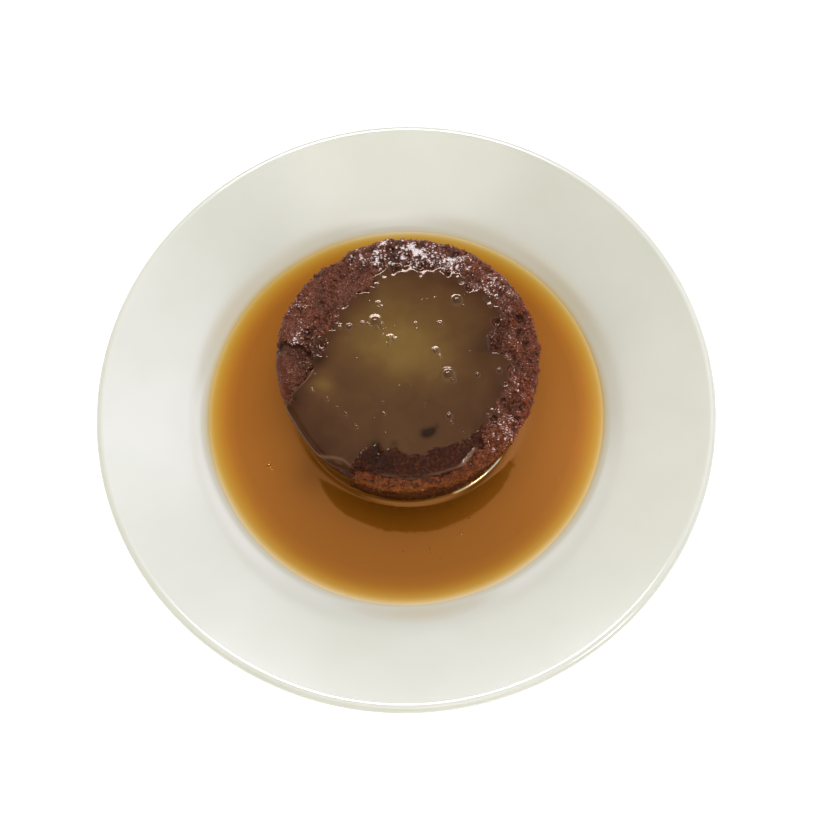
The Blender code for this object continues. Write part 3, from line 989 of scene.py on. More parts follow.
@dataclass
class DateSponge:
    """The sponge: a tapered round with a crumbly, craggy crust outside the sauce."""

    form: PuddingForm
    finish: MoistDateSponge = MoistDateSponge()
    columns: int = 720
    # (how far along, spacing) of the mesh's rows: coarse under the sauce and fine on the crust
    spans: tuple[Row, ...] = ((0.0, 5.0), (22.0, 1.4), (26.0, 0.6), (55.0, 0.75), (60.0, 1.0), (87.5, 1.0))
    # Layers of relief shared with the solid: (size, height)
    lumps: tuple[Row, ...] = ((8.0, 0.85), (4.0, 0.5))
    # Holes: (bearing, along, radius, depth)
    dents: tuple[Row, ...] = (
        (172.0, 46.0, 2.2, 0.9),
        (174.0, 40.5, 2.2, 1.1),
        (176.0, 33.5, 2.8, 1.8),
        (119.0, 48.0, 3.2, 2.0),
        (93.0, 43.0, 3.0, 1.6),
        (64.0, 44.0, 2.8, 1.2),
        (16.0, 45.0, 2.8, 1.8),
        (7.0, 33.0, 3.2, 1.7),
        (328.0, 42.0, 2.6, 1.0),
        (277.0, 55.0, 3.0, 1.2),
    )
    # Small holes that the solid leaves out
    nicks: tuple[Row, ...] = (
        (181.0, 31.6, 1.7, 1.2),
        (170.0, 31.5, 1.5, 1.1),
        (185.0, 34.8, 1.3, 0.9),
        (161.0, 36.5, 1.3, 0.9),
        (12.0, 34.6, 1.5, 1.1),
        (1.0, 31.0, 1.4, 1.0),
        (16.0, 44.0, 1.4, 0.9),
        (318.0, 38.5, 1.3, 1.0),
        (321.0, 46.0, 1.2, 0.8),
        (94.0, 38.5, 1.9, 1.3),
        (86.0, 40.0, 1.4, 0.7),
        (79.0, 44.8, 1.5, 0.9),
        (113.0, 44.5, 1.6, 1.0),
        (250.0, 37.5, 1.4, 1.0),
        (256.0, 40.5, 1.8, 0.9),
        (245.0, 39.5, 1.5, 0.9),
    )
    # Where the crust has a smooth skin instead of open crumb: (bearing, along, radius)
    skins: tuple[Row, ...] = (
        (126.0, 33.5, 5.0),
        (137.0, 33.0, 5.5),
        (110.0, 33.0, 3.0),
        (160.0, 44.0, 3.5),
        (176.0, 44.5, 4.5),
        (184.0, 42.0, 5.0),
        (183.0, 52.0, 6.0),
    )
    # Where the painted highlights of wet facets are densest: (bearing, along, radius, strength)
    gleams: tuple[Row, ...] = (
        (76.0, 40.0, 9.0, 1.2),
        (94.0, 41.5, 7.0, 1.3),
        (110.0, 43.0, 7.0, 1.0),
        (58.0, 40.0, 6.0, 0.7),
        (130.0, 44.0, 6.0, 0.15),
        (150.0, 45.0, 8.0, 0.45),
        (166.0, 39.0, 6.0, 0.75),
        (184.0, 44.0, 7.0, 0.5),
        (34.0, 43.0, 10.0, 0.75),
        (5.0, 43.0, 9.0, 0.35),
        (342.0, 42.0, 8.0, 0.4),
        (322.0, 43.0, 8.0, 0.45),
        (310.0, 47.0, 6.0, 0.5),
        (300.0, 52.0, 4.0, 0.25),
    )
    # Deep places that light hardly reaches, darkened with painted shade: (bearing, along, radius, strength)
    shades: tuple[Row, ...] = (
        (134.0, 40.0, 9.0, 0.5),
        (172.0, 42.0, 8.0, 0.4),
        (192.0, 41.0, 5.5, 0.5),
        (176.0, 33.8, 4.2, 0.8),
        (168.0, 33.0, 2.6, 0.5),
        (182.0, 37.0, 2.6, 0.5),
        (8.0, 33.5, 4.6, 0.7),
        (17.0, 38.0, 3.0, 0.35),
        (93.0, 43.0, 2.6, 0.6),
        (119.0, 48.0, 2.8, 0.6),
        (64.0, 44.0, 2.2, 0.45),
        (328.0, 42.0, 2.2, 0.4),
    )
    # The crack at the left, as (bearing, along)
    crack: tuple[Row, ...] = ((170.0, 50.0), (169.0, 45.0), (169.5, 41.8), (170.5, 38.0), (174.0, 34.4))
    crack_deep: float = 1.15
    crack_rise: float = 1.7  # how fast its floor rises again behind the brink
    # Layers of open crumb: (size, height, where its gaps start)
    crumbs: tuple[Row, ...] = ((2.9, 0.75, 0.42), (1.4, 0.5, 0.4))
    film_crumb: float = 0.3  # of the crumb's height, where only a film covers it
    tall: float = 1.0  # what stands higher than this is rounded off
    tall_over: float = 0.6  # the most that is left of it over that
    pit_count: int = 900
    pit_span: Row = (29.0, 84.0)  # how far along the air holes lie
    pit_least: float = 0.3
    pit_more: float = 0.6  # the widest air hole's radius, over the least
    base_z: float = 6.3
    base_width: float = 0.95  # of the side's lower edge
    seed: int = 11

    def openness(self, bearing: np.ndarray, along: np.ndarray) -> np.ndarray:
        """1 where the crust is open crumb, down to 0 where it has a smooth skin."""
        skin = sum(bell(self.form.away(bearing, along, spot), spot[2]) for spot in self.skins)
        return 1.0 - 0.85 * np.minimum(skin, 1.0)

    def lump_relief(self, bearing: np.ndarray, along: np.ndarray) -> np.ndarray:
        """Height of the lumps and holes that the solid has too, in millimetres."""
        form = self.form
        local = form.local(bearing, along)
        clear = np.minimum.reduce([-form.glaze_depth(bearing + aside, along) for aside in (-6, -3, 0, 3, 6)])
        dry = smooth(local[..., 2], form.pool_z + 0.4, 15.0)
        side = 1.0 - 0.55 * smooth(along, form.side_start, form.side_start + form.edge_curve)
        lumps = sum(tall * each(local, size, noise.noise) for size, tall in self.lumps)
        return (lumps - form.marks(bearing, along, self.dents)) * smooth(clear, 1.0, 5.5) * dry * side

    def crumb_relief(self, bearing: np.ndarray, along: np.ndarray) -> np.ndarray:
        """Height of the crumb, its air holes and the crack, in millimetres."""
        form = self.form
        local = form.local(bearing, along)
        covered = smooth(form.glaze_depth(bearing, along), 0.3, 1.8)
        bare = 1.0 - covered * (1.0 - self.film_crumb * form.film_share(bearing, along))
        low = 0.5 + 0.5 * smooth(local[..., 2], form.pool_z + 0.4, 15.0)
        crumb = sum(tall * (gap - each(local, size, cell_distance)) for size, tall, gap in self.crumbs)
        crumb = crumb + 0.4 * each(local + 31.0, 1.1, noise.noise) - self.pits(bearing, along)
        crumb = crumb * self.openness(bearing, along) * low
        return (crumb - form.marks(bearing, along, self.nicks)) * bare - self.crack_depth(bearing, along)

    def relief(self, bearing: np.ndarray, along: np.ndarray) -> np.ndarray:
        """Height of the crust over the smooth surface, in millimetres."""
        lumps = self.lump_relief(bearing, along) + self.form.bank(bearing, along)
        return self.limit(lumps + self.crumb_relief(bearing, along))

    def limit(self, height: np.ndarray) -> np.ndarray:
        """Rounds off what would stand higher than the crust does anywhere."""
        over = self.tall_over * np.tanh((height - self.tall) / self.tall_over)
        return np.where(height > self.tall, self.tall + over, height)

    def crack_depth(self, bearing: np.ndarray, along: np.ndarray) -> np.ndarray:
        """Depth of the crack, in millimetres: a sharp brink at its back and a slow rise to the front."""
        arc, places = zip(*sorted((a, b) for b, a in self.crack))
        brink = np.interp(along, arc, places) + 0.9 * np.sin(1.1 * along)
        past = np.radians(apart(bearing, brink)) * np.minimum(along, self.form.radius)
        drop = np.where(past > 0.0, np.exp(-np.maximum(past, 0.0) / self.crack_rise), bell(past, 0.25))
        ends = smooth(along, 33.0, 35.5) * smooth(-along, -53.0, -49.5)
        return (self.crack_deep * drop - 0.3 * bell(past + 0.7, 0.6)) * ends

    def pits(self, bearing: np.ndarray, along: np.ndarray) -> np.ndarray:
        """Depth of the crumb's air holes, in millimetres."""
        chance = np.random.default_rng(self.seed)
        depth = np.zeros(np.broadcast_shapes(bearing.shape, along.shape))
        rows = along[:, 0]
        for _ in range(self.pit_count):
            spot = (chance.uniform(0.0, 360.0), chance.uniform(*self.pit_span))
            radius = self.pit_least + self.pit_more * chance.random() ** 3
            low, high = np.searchsorted(rows, [spot[1] - 3 * radius, spot[1] + 3 * radius])
            if high > low:
                away = self.form.away(bearing, along[low:high], spot)
                depth[low:high] = np.maximum(depth[low:high], 1.1 * radius * bell(away, radius))
        return depth

    def looks(self, bearing: np.ndarray, along: np.ndarray, crumb: np.ndarray, lumps: np.ndarray) -> Looks:
        """What the finish reads at each place.

        Args:
            bearing: Bearings in degrees.
            along: Distances over the surface.
            crumb: Height of the crumb there.
            lumps: Height of the lumps there.

        Returns:
            Values for "height", "skin", "ember", "gold", "soak" and "gleam".
        """
        form = self.form
        skin = 1.0 - self.openness(bearing, along) + 0.0 * along
        raised = smooth(crumb + 0.5 * lumps, -0.45, 0.25)
        gleam = np.clip(form.marks(bearing, along, self.gleams), 0.0, 1.3) * raised
        # Soaked crumb low on the side, with painted shade there and beside the glaze
        wet = 0.75 * smooth(along, 57.0, 72.0) + 0.35 * smooth(form.glaze_depth(bearing, along), -6.0, 0.0)
        return {
            "height": np.clip(0.5 + 0.55 * crumb + 0.16 * lumps, 0.0, 1.0),
            "skin": skin,
            # painted light: the glowing edge of the crust
            "ember": 0.75 * bell(along - 50.0, 5.5) * (1.0 - 0.5 * bell(apart(bearing, 175.0), 30.0)),
            "gold": 1.5 * bell(apart(bearing, 268.0), 32.0) * bell(along - 51.0, 5.0),
            "soak_and_shade": np.minimum(wet + form.marks(bearing, along, self.shades), 0.95),
            "gleam": gleam * (1.0 - 0.6 * skin) * smooth(-along, -60.0, -52.0),
        }

    def rows(self) -> np.ndarray:
        """Where the mesh's rows lie, along the surface."""
        places = []
        for (start, step), (end, _) in zip(self.spans, self.spans[1:]):
            places.append(np.arange(start, end - step / 2, step))
        return np.concatenate(places)[1:][:, None]

    def build(self) -> bpy.types.Object:
        """Builds and dresses the sponge.

        Returns:
            The piece, which stands for the pudding's solid.
        """
        along = self.rows()
        bearing = np.arange(self.columns)[None, :] * 360.0 / self.columns
        lumps, crumb = self.lump_relief(bearing, along), self.crumb_relief(bearing, along)
        grid = self.form.point(bearing, along, self.limit(lumps + crumb + self.form.bank(bearing, along)))
        base = grid[-1:].copy()
        base[..., :2] = (base[..., :2] - self.form.middle) * self.base_width + self.form.middle
        base[..., 2] = self.base_z
        grid = np.concatenate([grid, base])
        tip = np.array([[*self.form.middle, self.form.top_z - self.form.dish]])
        mesh = sheet_mesh("date_sponge", grid, tip=tip)
        for name, values in self.looks(bearing, along, crumb, lumps).items():
            values = np.broadcast_to(values, crumb.shape)
            paint(mesh, name, np.concatenate([values, values[-1:]]))
        return add_piece("date_sponge", mesh, self.finish.make(), "date_pudding")


@dataclass
class CrumbGrains:
    """Loose and half-loose grains of crumb that stand on the crust."""

    sponge: DateSponge
    material: bpy.types.Material
    count: int = 2200
    least: float = 0.2
    more: float = 0.32  # the largest grain's radius, over the least
    seed: int = 5

    def build(self) -> bpy.types.Object:
        """Builds and dresses the grains as one piece."""
        chance = np.random.default_rng(self.seed)
        ball = bmesh.new()
        bmesh.ops.create_icosphere(ball, subdivisions=2, radius=1.0)
        shape = np.array([v.co[:] for v in ball.verts])
        faces = np.array([[v.index for v in f.verts] for f in ball.faces])
        ball.free()
        form = self.sponge.form
        bearing = chance.uniform(0.0, 360.0, self.count * 4)
        along = 28.0 + 42.0 * chance.random(self.count * 4) ** 1.3
        bare = self.sponge.openness(bearing, along)
        keep = (form.glaze_depth(bearing, along) < -0.5) & (chance.random(self.count * 4) < bare**2)
        bearing, along = bearing[keep][: self.count], along[keep][: self.count]
        spots = zip(bearing[:, None, None], along[:, None, None])
        height = np.array([self.sponge.relief(b, a)[0, 0] for b, a in spots])
        size = self.least + self.more * chance.random(len(bearing)) ** 2
        centre = form.point(bearing, along, height + 0.2 * size)
        stretch = chance.uniform(0.6, 1.25, (len(bearing), 1, 3)) * size[:, None, None]
        knobs = 1.0 + 0.35 * (chance.random((len(bearing), len(shape), 1)) - 0.5)
        points = (centre[:, None, :] + shape[None] * stretch * knobs).reshape(-1, 3)
        all_faces = (faces[None] + len(shape) * np.arange(len(bearing))[:, None, None]).reshape(-1, 3)
        mesh = bpy.data.meshes.new("crumb_grains")
        mesh.from_pydata((points * MM).tolist(), [], all_faces.tolist())
        mesh.shade_smooth()
        level = np.clip(0.45 + 0.35 * chance.random(len(height)), 0.0, 1.0)
        none = np.zeros(len(height))
        looks = self.sponge.looks(bearing, along, none, none) | {"height": level}
        for name, values in looks.items():
            values = np.repeat(values, len(shape)).astype(np.float32)
            mesh.attributes.new(name, "FLOAT", "POINT").data.foreach_set("value", values)
        return add_piece("crumb_grains", mesh, self.material)


@dataclass
class GlazeSheet:
    """The sauce that lies on the top and has run over the edge and down the side at the front left."""

    sponge: DateSponge
    finish: ToffeeGlaze = ToffeeGlaze()
    columns: int = 640
    squareness: float = 5.5  # of the edge where the sauce runs over: 2 would be round
    lip_tall: float = 0.3
    tallest: float = 1.7  # over the pudding's smooth form, before the shoulder
    # The rolled lip where the sauce goes over: (bearing, along)
    lip: tuple[Row, ...] = (
        (184.0, 33.0),
        (189.0, 36.0),
        (192.0, 38.5),
        (195.0, 43.0),
        (198.0, 46.8),
        (201.0, 48.0),
        (222.0, 48.2),
        (227.0, 47.2),
        (231.0, 45.8),
        (235.0, 44.2),
        (239.0, 44.4),
        (244.0, 46.2),
        (250.0, 46.0),
        (256.0, 44.3),
        (262.0, 44.8),
        (270.0, 45.3),
        (274.0, 44.9),
        (279.0, 44.1),
        (285.0, 44.4),
        (290.0, 45.0),
        (293.0, 43.9),
        (297.0, 42.6),
        (301.0, 42.0),
    )
    # How strongly the lip stands out and its painted highlight shows: (bearing, strength)
    lip_strength: tuple[Row, ...] = (
        (0.0, 0.0),
        (184.0, 0.0),
        (189.0, 0.7),
        (229.0, 0.65),
        (237.0, 0.45),
        (243.0, 0.15),
        (255.0, 0.25),
        (288.0, 0.35),
        (292.0, 1.25),
        (298.0, 1.25),
        (303.0, 0.0),
    )
    # Where the sauce lies deep and milky: (bearing, along, radius, strength)
    pools: tuple[Row, ...] = (
        (100.0, 1.0, 33.0, 0.6),
        (160.0, 18.0, 9.0, 0.08),
        (333.0, 16.0, 9.0, 0.14),
        (196.5, 33.0, 4.5, 0.4),
        (205.0, 36.0, 7.0, 0.12),
        (262.0, 31.0, 6.0, 0.1),
        (84.0, 28.0, 11.0, -0.17),
    )
    # Where the sponge shows dark through the sauce, with painted shade in its holes: (bearing, along, radius,
    # strength)
    hollows: tuple[Row, ...] = (
        (278.0, 29.7, 1.5, 0.95),
        (281.0, 29.9, 1.5, 0.95),
        (284.0, 29.4, 1.2, 0.9),
        (287.5, 28.4, 0.9, 0.45),
        (178.0, 31.5, 2.6, 0.6),
        (248.0, 35.0, 2.0, 0.6),
        (258.5, 33.2, 1.3, 0.5),
        (249.0, 39.5, 4.0, 0.55),
        (257.0, 40.5, 3.5, 0.45),
        (272.0, 43.5, 3.0, 0.2),
        (0.0, 28.0, 6.0, 0.25),
    )

    def shoulder(self, bearing: np.ndarray, along: np.ndarray) -> np.ndarray:
        """How much the sauce squares off the pudding's round edge where it runs over, in millimetres."""
        form = self.sponge.form
        where = smooth(apart(bearing, 196.0), -3.0, 4.0) * smooth(-apart(bearing, 240.0), -3.0, 8.0)
        turn = np.clip((along - form.flat_end) / form.edge_curve, 0.0, math.pi / 2)
        square = (np.cos(turn) ** self.squareness + np.sin(turn) ** self.squareness) ** (-1 / self.squareness)
        return where * (form.edge_curve + form.body) * (square - 1.0)

    def lip_height(self, bearing: np.ndarray, along: np.ndarray) -> np.ndarray:
        """Height of the rolled lip, in millimetres."""
        stops, lengths = zip(*self.lip)
        asides = (-2.5, -1.2, 0.0, 1.2, 2.5)
        places = sum(np.interp((bearing + aside) % 360.0, stops, lengths) for aside in asides) / len(asides)
        wobble = 0.35 * each(self.sponge.form.local(bearing, along), 5.0, noise.noise)
        strength = round_table(bearing, self.lip_strength)
        width = 0.4 + 0.2 * smooth(strength, 0.8, 1.4)
        return self.lip_tall * strength * bell(along - places - wobble, width)

    def looks(self, bearing: np.ndarray, along: np.ndarray) -> Looks:
        """What the finish reads at each place.

        Args:
            bearing: Bearings in degrees.
            along: Distances over the surface.

        Returns:
            Values from 0 to 1 for "milk", "pit", "film" and "lip".
        """
        form = self.sponge.form
        thick = form.thickness(bearing, along)
        film = form.film_share(bearing, along)
        inside = smooth(form.glaze_depth(bearing, along), -0.5, 7.0)
        run_off = bell(apart(bearing, 222.0), 34.0) * smooth(along, 30.0, 46.0)  # thinner to the front left
        milk = (0.3 + form.marks(bearing, along, self.pools)) * smooth(thick, 0.1, 0.8)
        milk = milk * (0.45 + 0.55 * inside) * (1.0 - 0.7 * run_off)
        front = bell(apart(bearing, 281.0), 22.0)
        lip = self.lip_height(bearing, along) / self.lip_tall
        return {
            "milk": np.clip(milk, 0.0, 1.0),
            "pit": np.clip(form.marks(bearing, along, self.hollows), 0.0, 0.9),
            "film": np.clip(film * (0.45 + 0.55 * front) + 0.8 * smooth(0.6 - thick, 0.0, 0.45), 0.0, 1.0),
            # painted highlight along the rolled lip
            "lip": np.clip(0.85 * lip, 0.0, 0.7),
        }

    def build(self) -> bpy.types.Object:
        """Builds and dresses the glaze.

        Returns:
            The piece, which stands for the glaze's solid.
        """
        form = self.sponge.form
        spans = (np.arange(3.0, 26.0, 1.5), np.arange(26.0, 52.0, 0.4), np.arange(52.0, 85.4, 1.0))
        along = np.concatenate(spans)[:, None]
        bearing = np.arange(self.columns)[None, :] * 360.0 / self.columns
        thick = form.thickness(bearing, along)
        looks = self.looks(bearing, along)
        fill = smooth(thick, 0.08, 0.5)
        relief = self.sponge.relief(bearing, along)
        dish = form.top_z - form.section(np.minimum(along, form.flat_end))[1]
        swell = 0.1 * each(form.local(bearing, along), 9.0, noise.noise) * fill
        under = (1.0 - fill) * (relief + dish * fill)
        lift = dish * fill + thick + under + swell + self.lip_height(bearing, along)
        lift = lift - 0.1 * looks["pit"] * fill
        lift = np.minimum(lift, self.tallest) + self.shoulder(bearing, along) * fill
        grid = form.point(bearing, along, lift)
        tip = np.array([[*form.middle, form.top_z + form.body]])
        mesh = sheet_mesh("toffee_glaze_sheet", grid, thick > -0.75, tip)
        for name, values in looks.items():
            paint(mesh, name, values)
        return add_piece("toffee_glaze_sheet", mesh, self.finish.make(), "toffee_glaze")


@dataclass
class SaucePool:
    """The sauce in the well, which climbs a little where it meets the pudding."""

    plate: PlateForm
    pudding: PuddingForm
    finish: ToffeeSauce = ToffeeSauce()
    columns: int = 360
    level: float = 10.5
    tuck: float = 0.06  # how far the sheet runs on into the china
    climb_sponge: float = 1.1
    creep_sponge: float = 1.4  # how soon the climb levels out
    lee_mm: float = 10.0  # how soon the pudding's lee wears off
    corner: Row = (-37.0, -23.0, 8.0, 0.42)  # painted shade under the run-off: x, y, radius, strength
    edge_rows: float = 0.16  # the share of its width at either edge where its rows lie close
    # How strongly the climb at the pudding mirrors the light, with a painted highlight on it: (bearing,
    # strength)
    bright_foot: tuple[Row, ...] = ((0.0, 0.0), (285.0, 0.0), (291.0, 1.0), (316.0, 1.0), (324.0, 0.0))

    def lee(self, spots: np.ndarray) -> np.ndarray:
        """How much shade is painted on the sauce: near the pudding, which keeps the light off, more towards the
        front, and under the run-off.

        Args:
            spots: x, y on the last axis.

        Returns:
            A share from 0 to 1 for each spot.
        """
        away = np.hypot(spots[..., 0] - self.pudding.middle[0], spots[..., 1] - self.pudding.middle[1])
        away = np.maximum(away - self.pudding.side_radius(0.0, self.level), 0.0)
        front = smooth(-spots[..., 1], 8.0, 76.0)
        x, y, radius, strength = self.corner
        corner = strength * bell(np.hypot(spots[..., 0] - x, spots[..., 1] - y), radius)
        near = (0.72 + 0.28 * smooth(front, 0.0, 0.3)) * np.exp(-away / self.lee_mm)
        return np.clip(near + 0.5 * front + corner, 0.0, 0.97)

    def build(self) -> bpy.types.Object:
        """Builds and dresses the pool.

        Returns:
            The piece, which stands for the sauce's solid.
        """
        bearing = np.arange(self.columns)[None, :] * 360.0 / self.columns
        turn = np.radians(bearing)
        inner_radius = self.pudding.side_radius(bearing, self.level) - 1.2
        inner = np.stack(
            [
                self.pudding.middle[0] + inner_radius * np.cos(turn),
                self.pudding.middle[1] + inner_radius * np.sin(turn),
            ],
            axis=-1,
        )
        radii = np.linspace(self.plate.floor_radius, 90.0, 600)
        shore = np.interp(self.level, self.plate.well_z(radii), radii) + self.tuck
        outer = shore * np.stack([np.cos(turn), np.sin(turn)], axis=-1)
        near = self.edge_rows * np.linspace(0.0, 1.0, 16) ** 1.2
        between = np.linspace(self.edge_rows, 1.0 - self.edge_rows, 20)[1:-1]
        far = 1.0 - self.edge_rows * np.linspace(1.0, 0.0, 20) ** 1.3
        share = np.concatenate([near, between, far])[:, None, None]
        flat = inner + (outer - inner) * share
        from_axis = np.hypot(flat[..., 0], flat[..., 1])
        off_sponge = np.hypot(flat[..., 0] - self.pudding.middle[0], flat[..., 1] - self.pudding.middle[1])
        off_sponge = off_sponge - self.pudding.side_radius(bearing, self.level)
        z = self.level + self.climb_sponge * np.exp(-np.maximum(off_sponge, -0.5) / self.creep_sponge)
        mesh = sheet_mesh("toffee_pool_sheet", np.concatenate([flat, z[..., None]], axis=-1))
        # Painted highlight: a thin line of paler sauce where the sauce climbs the pudding
        line = np.minimum(1.4 * round_table(bearing, self.bright_foot) * bell(off_sponge - 0.6, 0.4), 1.0)
        paint(mesh, "depth", self.pudding.sauce_depth(bearing, from_axis) * (1.0 - line))
        paint(mesh, "lee", self.lee(flat))
        return add_piece("toffee_pool_sheet", mesh, self.finish.make(), "toffee_pool")


class Bubble(Enum):
    """Kinds of bubble: the share of its radius by which the dome stands up, and how dark its middle is."""

    WINDOW = (0.36, 0.35)
    FROTH = (0.42, 0.0)
    DIMPLE = (0.05, 0.9)

    @property
    def rise(self) -> float:
        """The dome's height for a radius of 1."""
        return self.value[0]

    @property
    def dark(self) -> float:
        """How far its middle shows what lies below."""
        return self.value[1]


@dataclass(frozen=True)
class BubbleShape:
    """A bubble in the skin of the sauce: a low dome with a foot that flares out into the sauce."""

    foot: float = 0.06  # the foot's height where it meets the dome
    sides: int = 20
    # Radii of its rings, for a dome of radius 1
    rings: tuple[float, ...] = (0.0, 0.25, 0.45, 0.62, 0.76, 0.87, 0.95, 1.0, 1.08, 1.2, 1.36, 1.55, 1.75)

    def profile(self, kind: Bubble) -> list[tuple[float, float, float]]:
        """The dome and foot of radius 1 as rows of (radius, height, how far it is on the rim)."""
        rows = []
        for place in self.rings:
            inside = math.sqrt(max(0.0, 1.0 - place**2)) * kind.rise
            outside = self.foot * math.exp(-max(0.0, place - 1.0) / 0.24)
            height = outside + inside - 0.04 * smooth(place, 1.4, 1.75)
            rows.append((place, float(height), math.exp(-(((place - 0.98) / 0.2) ** 2))))
        return rows


@dataclass
class Bubbles:
    """A set of bubbles in one sauce, that share its finish.

    Attributes:
        name: The piece's name.
        slot: Not used.
        rows: (x, y, radius, kind) of each bubble, in the plate's frame.
        level: Gives the sauce's height at an x and y.
        looks: Gives what the finish reads at an x and y.
        rim_look: The attribute that pales the rim with a painted highlight, and by how much.
        dark_look: The attribute that darkens the middle.
    """

    name: str
    slot: str
    rows: list[tuple[float, float, float, Bubble]]
    level: Callable[[float, float], float]
    looks: Callable[[float, float], dict[str, float]]
    rim_look: tuple[str, float]
    dark_look: str
    shape: BubbleShape = BubbleShape()

    def build(self, material: bpy.types.Material) -> bpy.types.Object:
        """Builds the bubbles and dresses them in the sauce's finish."""
        points, faces, looks = [], [], []
        turns = [2 * math.pi * k / self.shape.sides for k in range(self.shape.sides)]
        for x, y, radius, kind in self.rows:
            profile = self.shape.profile(kind)
            start, base = len(points), self.looks(x, y)
            z = self.level(x, y)
            for number, (place, height, rim) in enumerate(profile):
                look = dict(base)
                look[self.rim_look[0]] += self.rim_look[1] * rim
                look[self.dark_look] += kind.dark * (place < 0.8)
                for turn in turns[: 1 if number == 0 else None]:
                    spot = (x + radius * place * math.cos(turn), y + radius * place * math.sin(turn))
                    points.append((*spot, z + radius * height))
                    looks.append(look)
            for ring in range(len(profile) - 1):
                for k in range(self.shape.sides):
                    beside = (k + 1) % self.shape.sides
                    outer = start + 1 + ring * self.shape.sides
                    inner = outer - self.shape.sides
                    pair = (start,) if ring == 0 else (inner + beside, inner + k)
                    faces.append((outer + k, outer + beside, *pair))
        mesh = bpy.data.meshes.new(self.name)
        mesh.from_pydata((np.array(points) * MM).tolist(), [], faces)
        mesh.shade_smooth()
        for name in looks[0]:
            values = np.array([look[name] for look in looks], np.float32)
            mesh.attributes.new(name, "FLOAT", "POINT").data.foreach_set("value", values)
        return add_piece(self.name, mesh, material)


# Bubbles on the glaze as (x, y, radius) from the pudding's middle: first the ones with a clear middle
CLEAR_BUBBLES = (
    (19.4, 19.6, 1.9),
    (-10.4, 13.6, 1.8),
    (14.0, -8.6, 1.9),
    (-19.8, 12.2, 1.2),
    (10.2, 0.6, 1.1),
    (13.1, -24.0, 1.1),
    (32.0, -8.6, 1.0),
    (24.2, -9.6, 0.9),
)
FROTH_BUBBLES = (
    (21.6, 17.4, 0.8),
    (-8.2, 12.2, 1.0),
    (-12.6, 12.6, 0.9),
    (-9.6, 10.9, 0.9),
    (-7.4, 10.2, 0.7),
    (-15.1, 13.2, 0.8),
    (-23.1, 12.2, 0.7),
    (-5.6, 6.6, 1.1),
    (-3.8, 6.0, 0.8),
    (-6.2, 4.6, 0.8),
    (11.4, -1.6, 0.7),
    (15.6, -10.8, 1.0),
    (13.6, -26.4, 0.8),
    (-34.0, -10.9, 0.8),
    (-28.9, -14.6, 0.8),
    (-22.6, -21.4, 0.6),
    (-19.3, -25.3, 0.8),
    (-9.8, -17.2, 0.7),
    (-9.4, -21.4, 0.8),
    (-25.5, -17.8, 0.6),
    (-22.8, -20.2, 0.7),
    (-9.0, 20.6, 0.7),
    (-8.6, 19.0, 0.8),
    (-9.0, 27.9, 0.7),
    (-12.6, 28.6, 0.6),
    (31.0, 16.6, 0.7),
    (12.6, 11.0, 0.9),
    (4.0, 11.6, 0.7),
    (26.6, -24.6, 0.8),
    (17.4, -30.4, 0.6),
)
# Bubbles in the pool as (x, y, radius, kind) from the plate's middle
POOL_BUBBLES = (
    (-53.6, -19.4, 0.95, Bubble.WINDOW),
    (-52.4, -21.4, 0.5, Bubble.FROTH),
    (5.4, -56.0, 0.55, Bubble.DIMPLE),
    (5.5, -57.6, 0.45, Bubble.DIMPLE),
    (-4.6, -56.2, 0.4, Bubble.DIMPLE),
    (8.8, -60.0, 0.35, Bubble.FROTH),
    (20.6, -45.6, 0.45, Bubble.FROTH),
    (17.2, -51.0, 0.35, Bubble.FROTH),
    (55.0, -33.0, 0.35, Bubble.FROTH),
    (60.0, -14.0, 0.35, Bubble.FROTH),
    (-62.0, -6.0, 0.35, Bubble.FROTH),
    (-40.0, -44.0, 0.3, Bubble.FROTH),
    (36.0, -52.0, 0.3, Bubble.FROTH),
    (-20.0, -60.0, 0.3, Bubble.FROTH),
)


def glaze_bubbles(glaze: GlazeSheet, count: int = 40, seed: int = 22) -> Bubbles:
    """The bubbles on the pudding: the ones listed and a scatter of tiny ones.

    Args:
        glaze: The glaze that they stand in.
        count: How many tiny ones to try to place.
        seed: The scatter's seed.

    Returns:
        The set.
    """
    form = glaze.sponge.form

    def polar(x: float, y: float) -> tuple[np.ndarray, np.ndarray]:
        """An x and y from the pudding's middle as a bearing and a distance along the top."""
        return np.array([[math.degrees(math.atan2(y, x)) % 360.0]]), np.array([[math.hypot(x, y)]])

    def looks(x: float, y: float) -> dict[str, float]:
        """What the glaze's finish reads there."""
        spot = polar(x - form.middle[0], y - form.middle[1])
        return {name: float(values[0, 0]) for name, values in glaze.looks(*spot).items()}

    chance = np.random.default_rng(seed)
    tiny = []
    for _ in range(count):
        distance, turn = 36.0 * math.sqrt(chance.random()), chance.uniform(0.0, 2 * math.pi)
        x, y = distance * math.cos(turn), distance * math.sin(turn)
        if form.thickness(*polar(x, y))[0, 0] > 0.75:
            tiny.append((x, y, 0.16 + 0.16 * chance.random()))
    kinds = [(CLEAR_BUBBLES, Bubble.WINDOW), (FROTH_BUBBLES, Bubble.FROTH), (tiny, Bubble.FROTH)]
    rows = [(x + form.middle[0], y + form.middle[1], r, kind) for spots, kind in kinds for x, y, r in spots]

    def level(x: float, y: float) -> float:
        """The glaze's height there."""
        spot = polar(x - form.middle[0], y - form.middle[1])
        return form.top_z + float(form.thickness(*spot)[0, 0])

    # The rims get the lip's painted highlight
    return Bubbles("glaze_bubbles", "toffee_glaze", rows, level, looks, ("lip", 0.35), "pit")


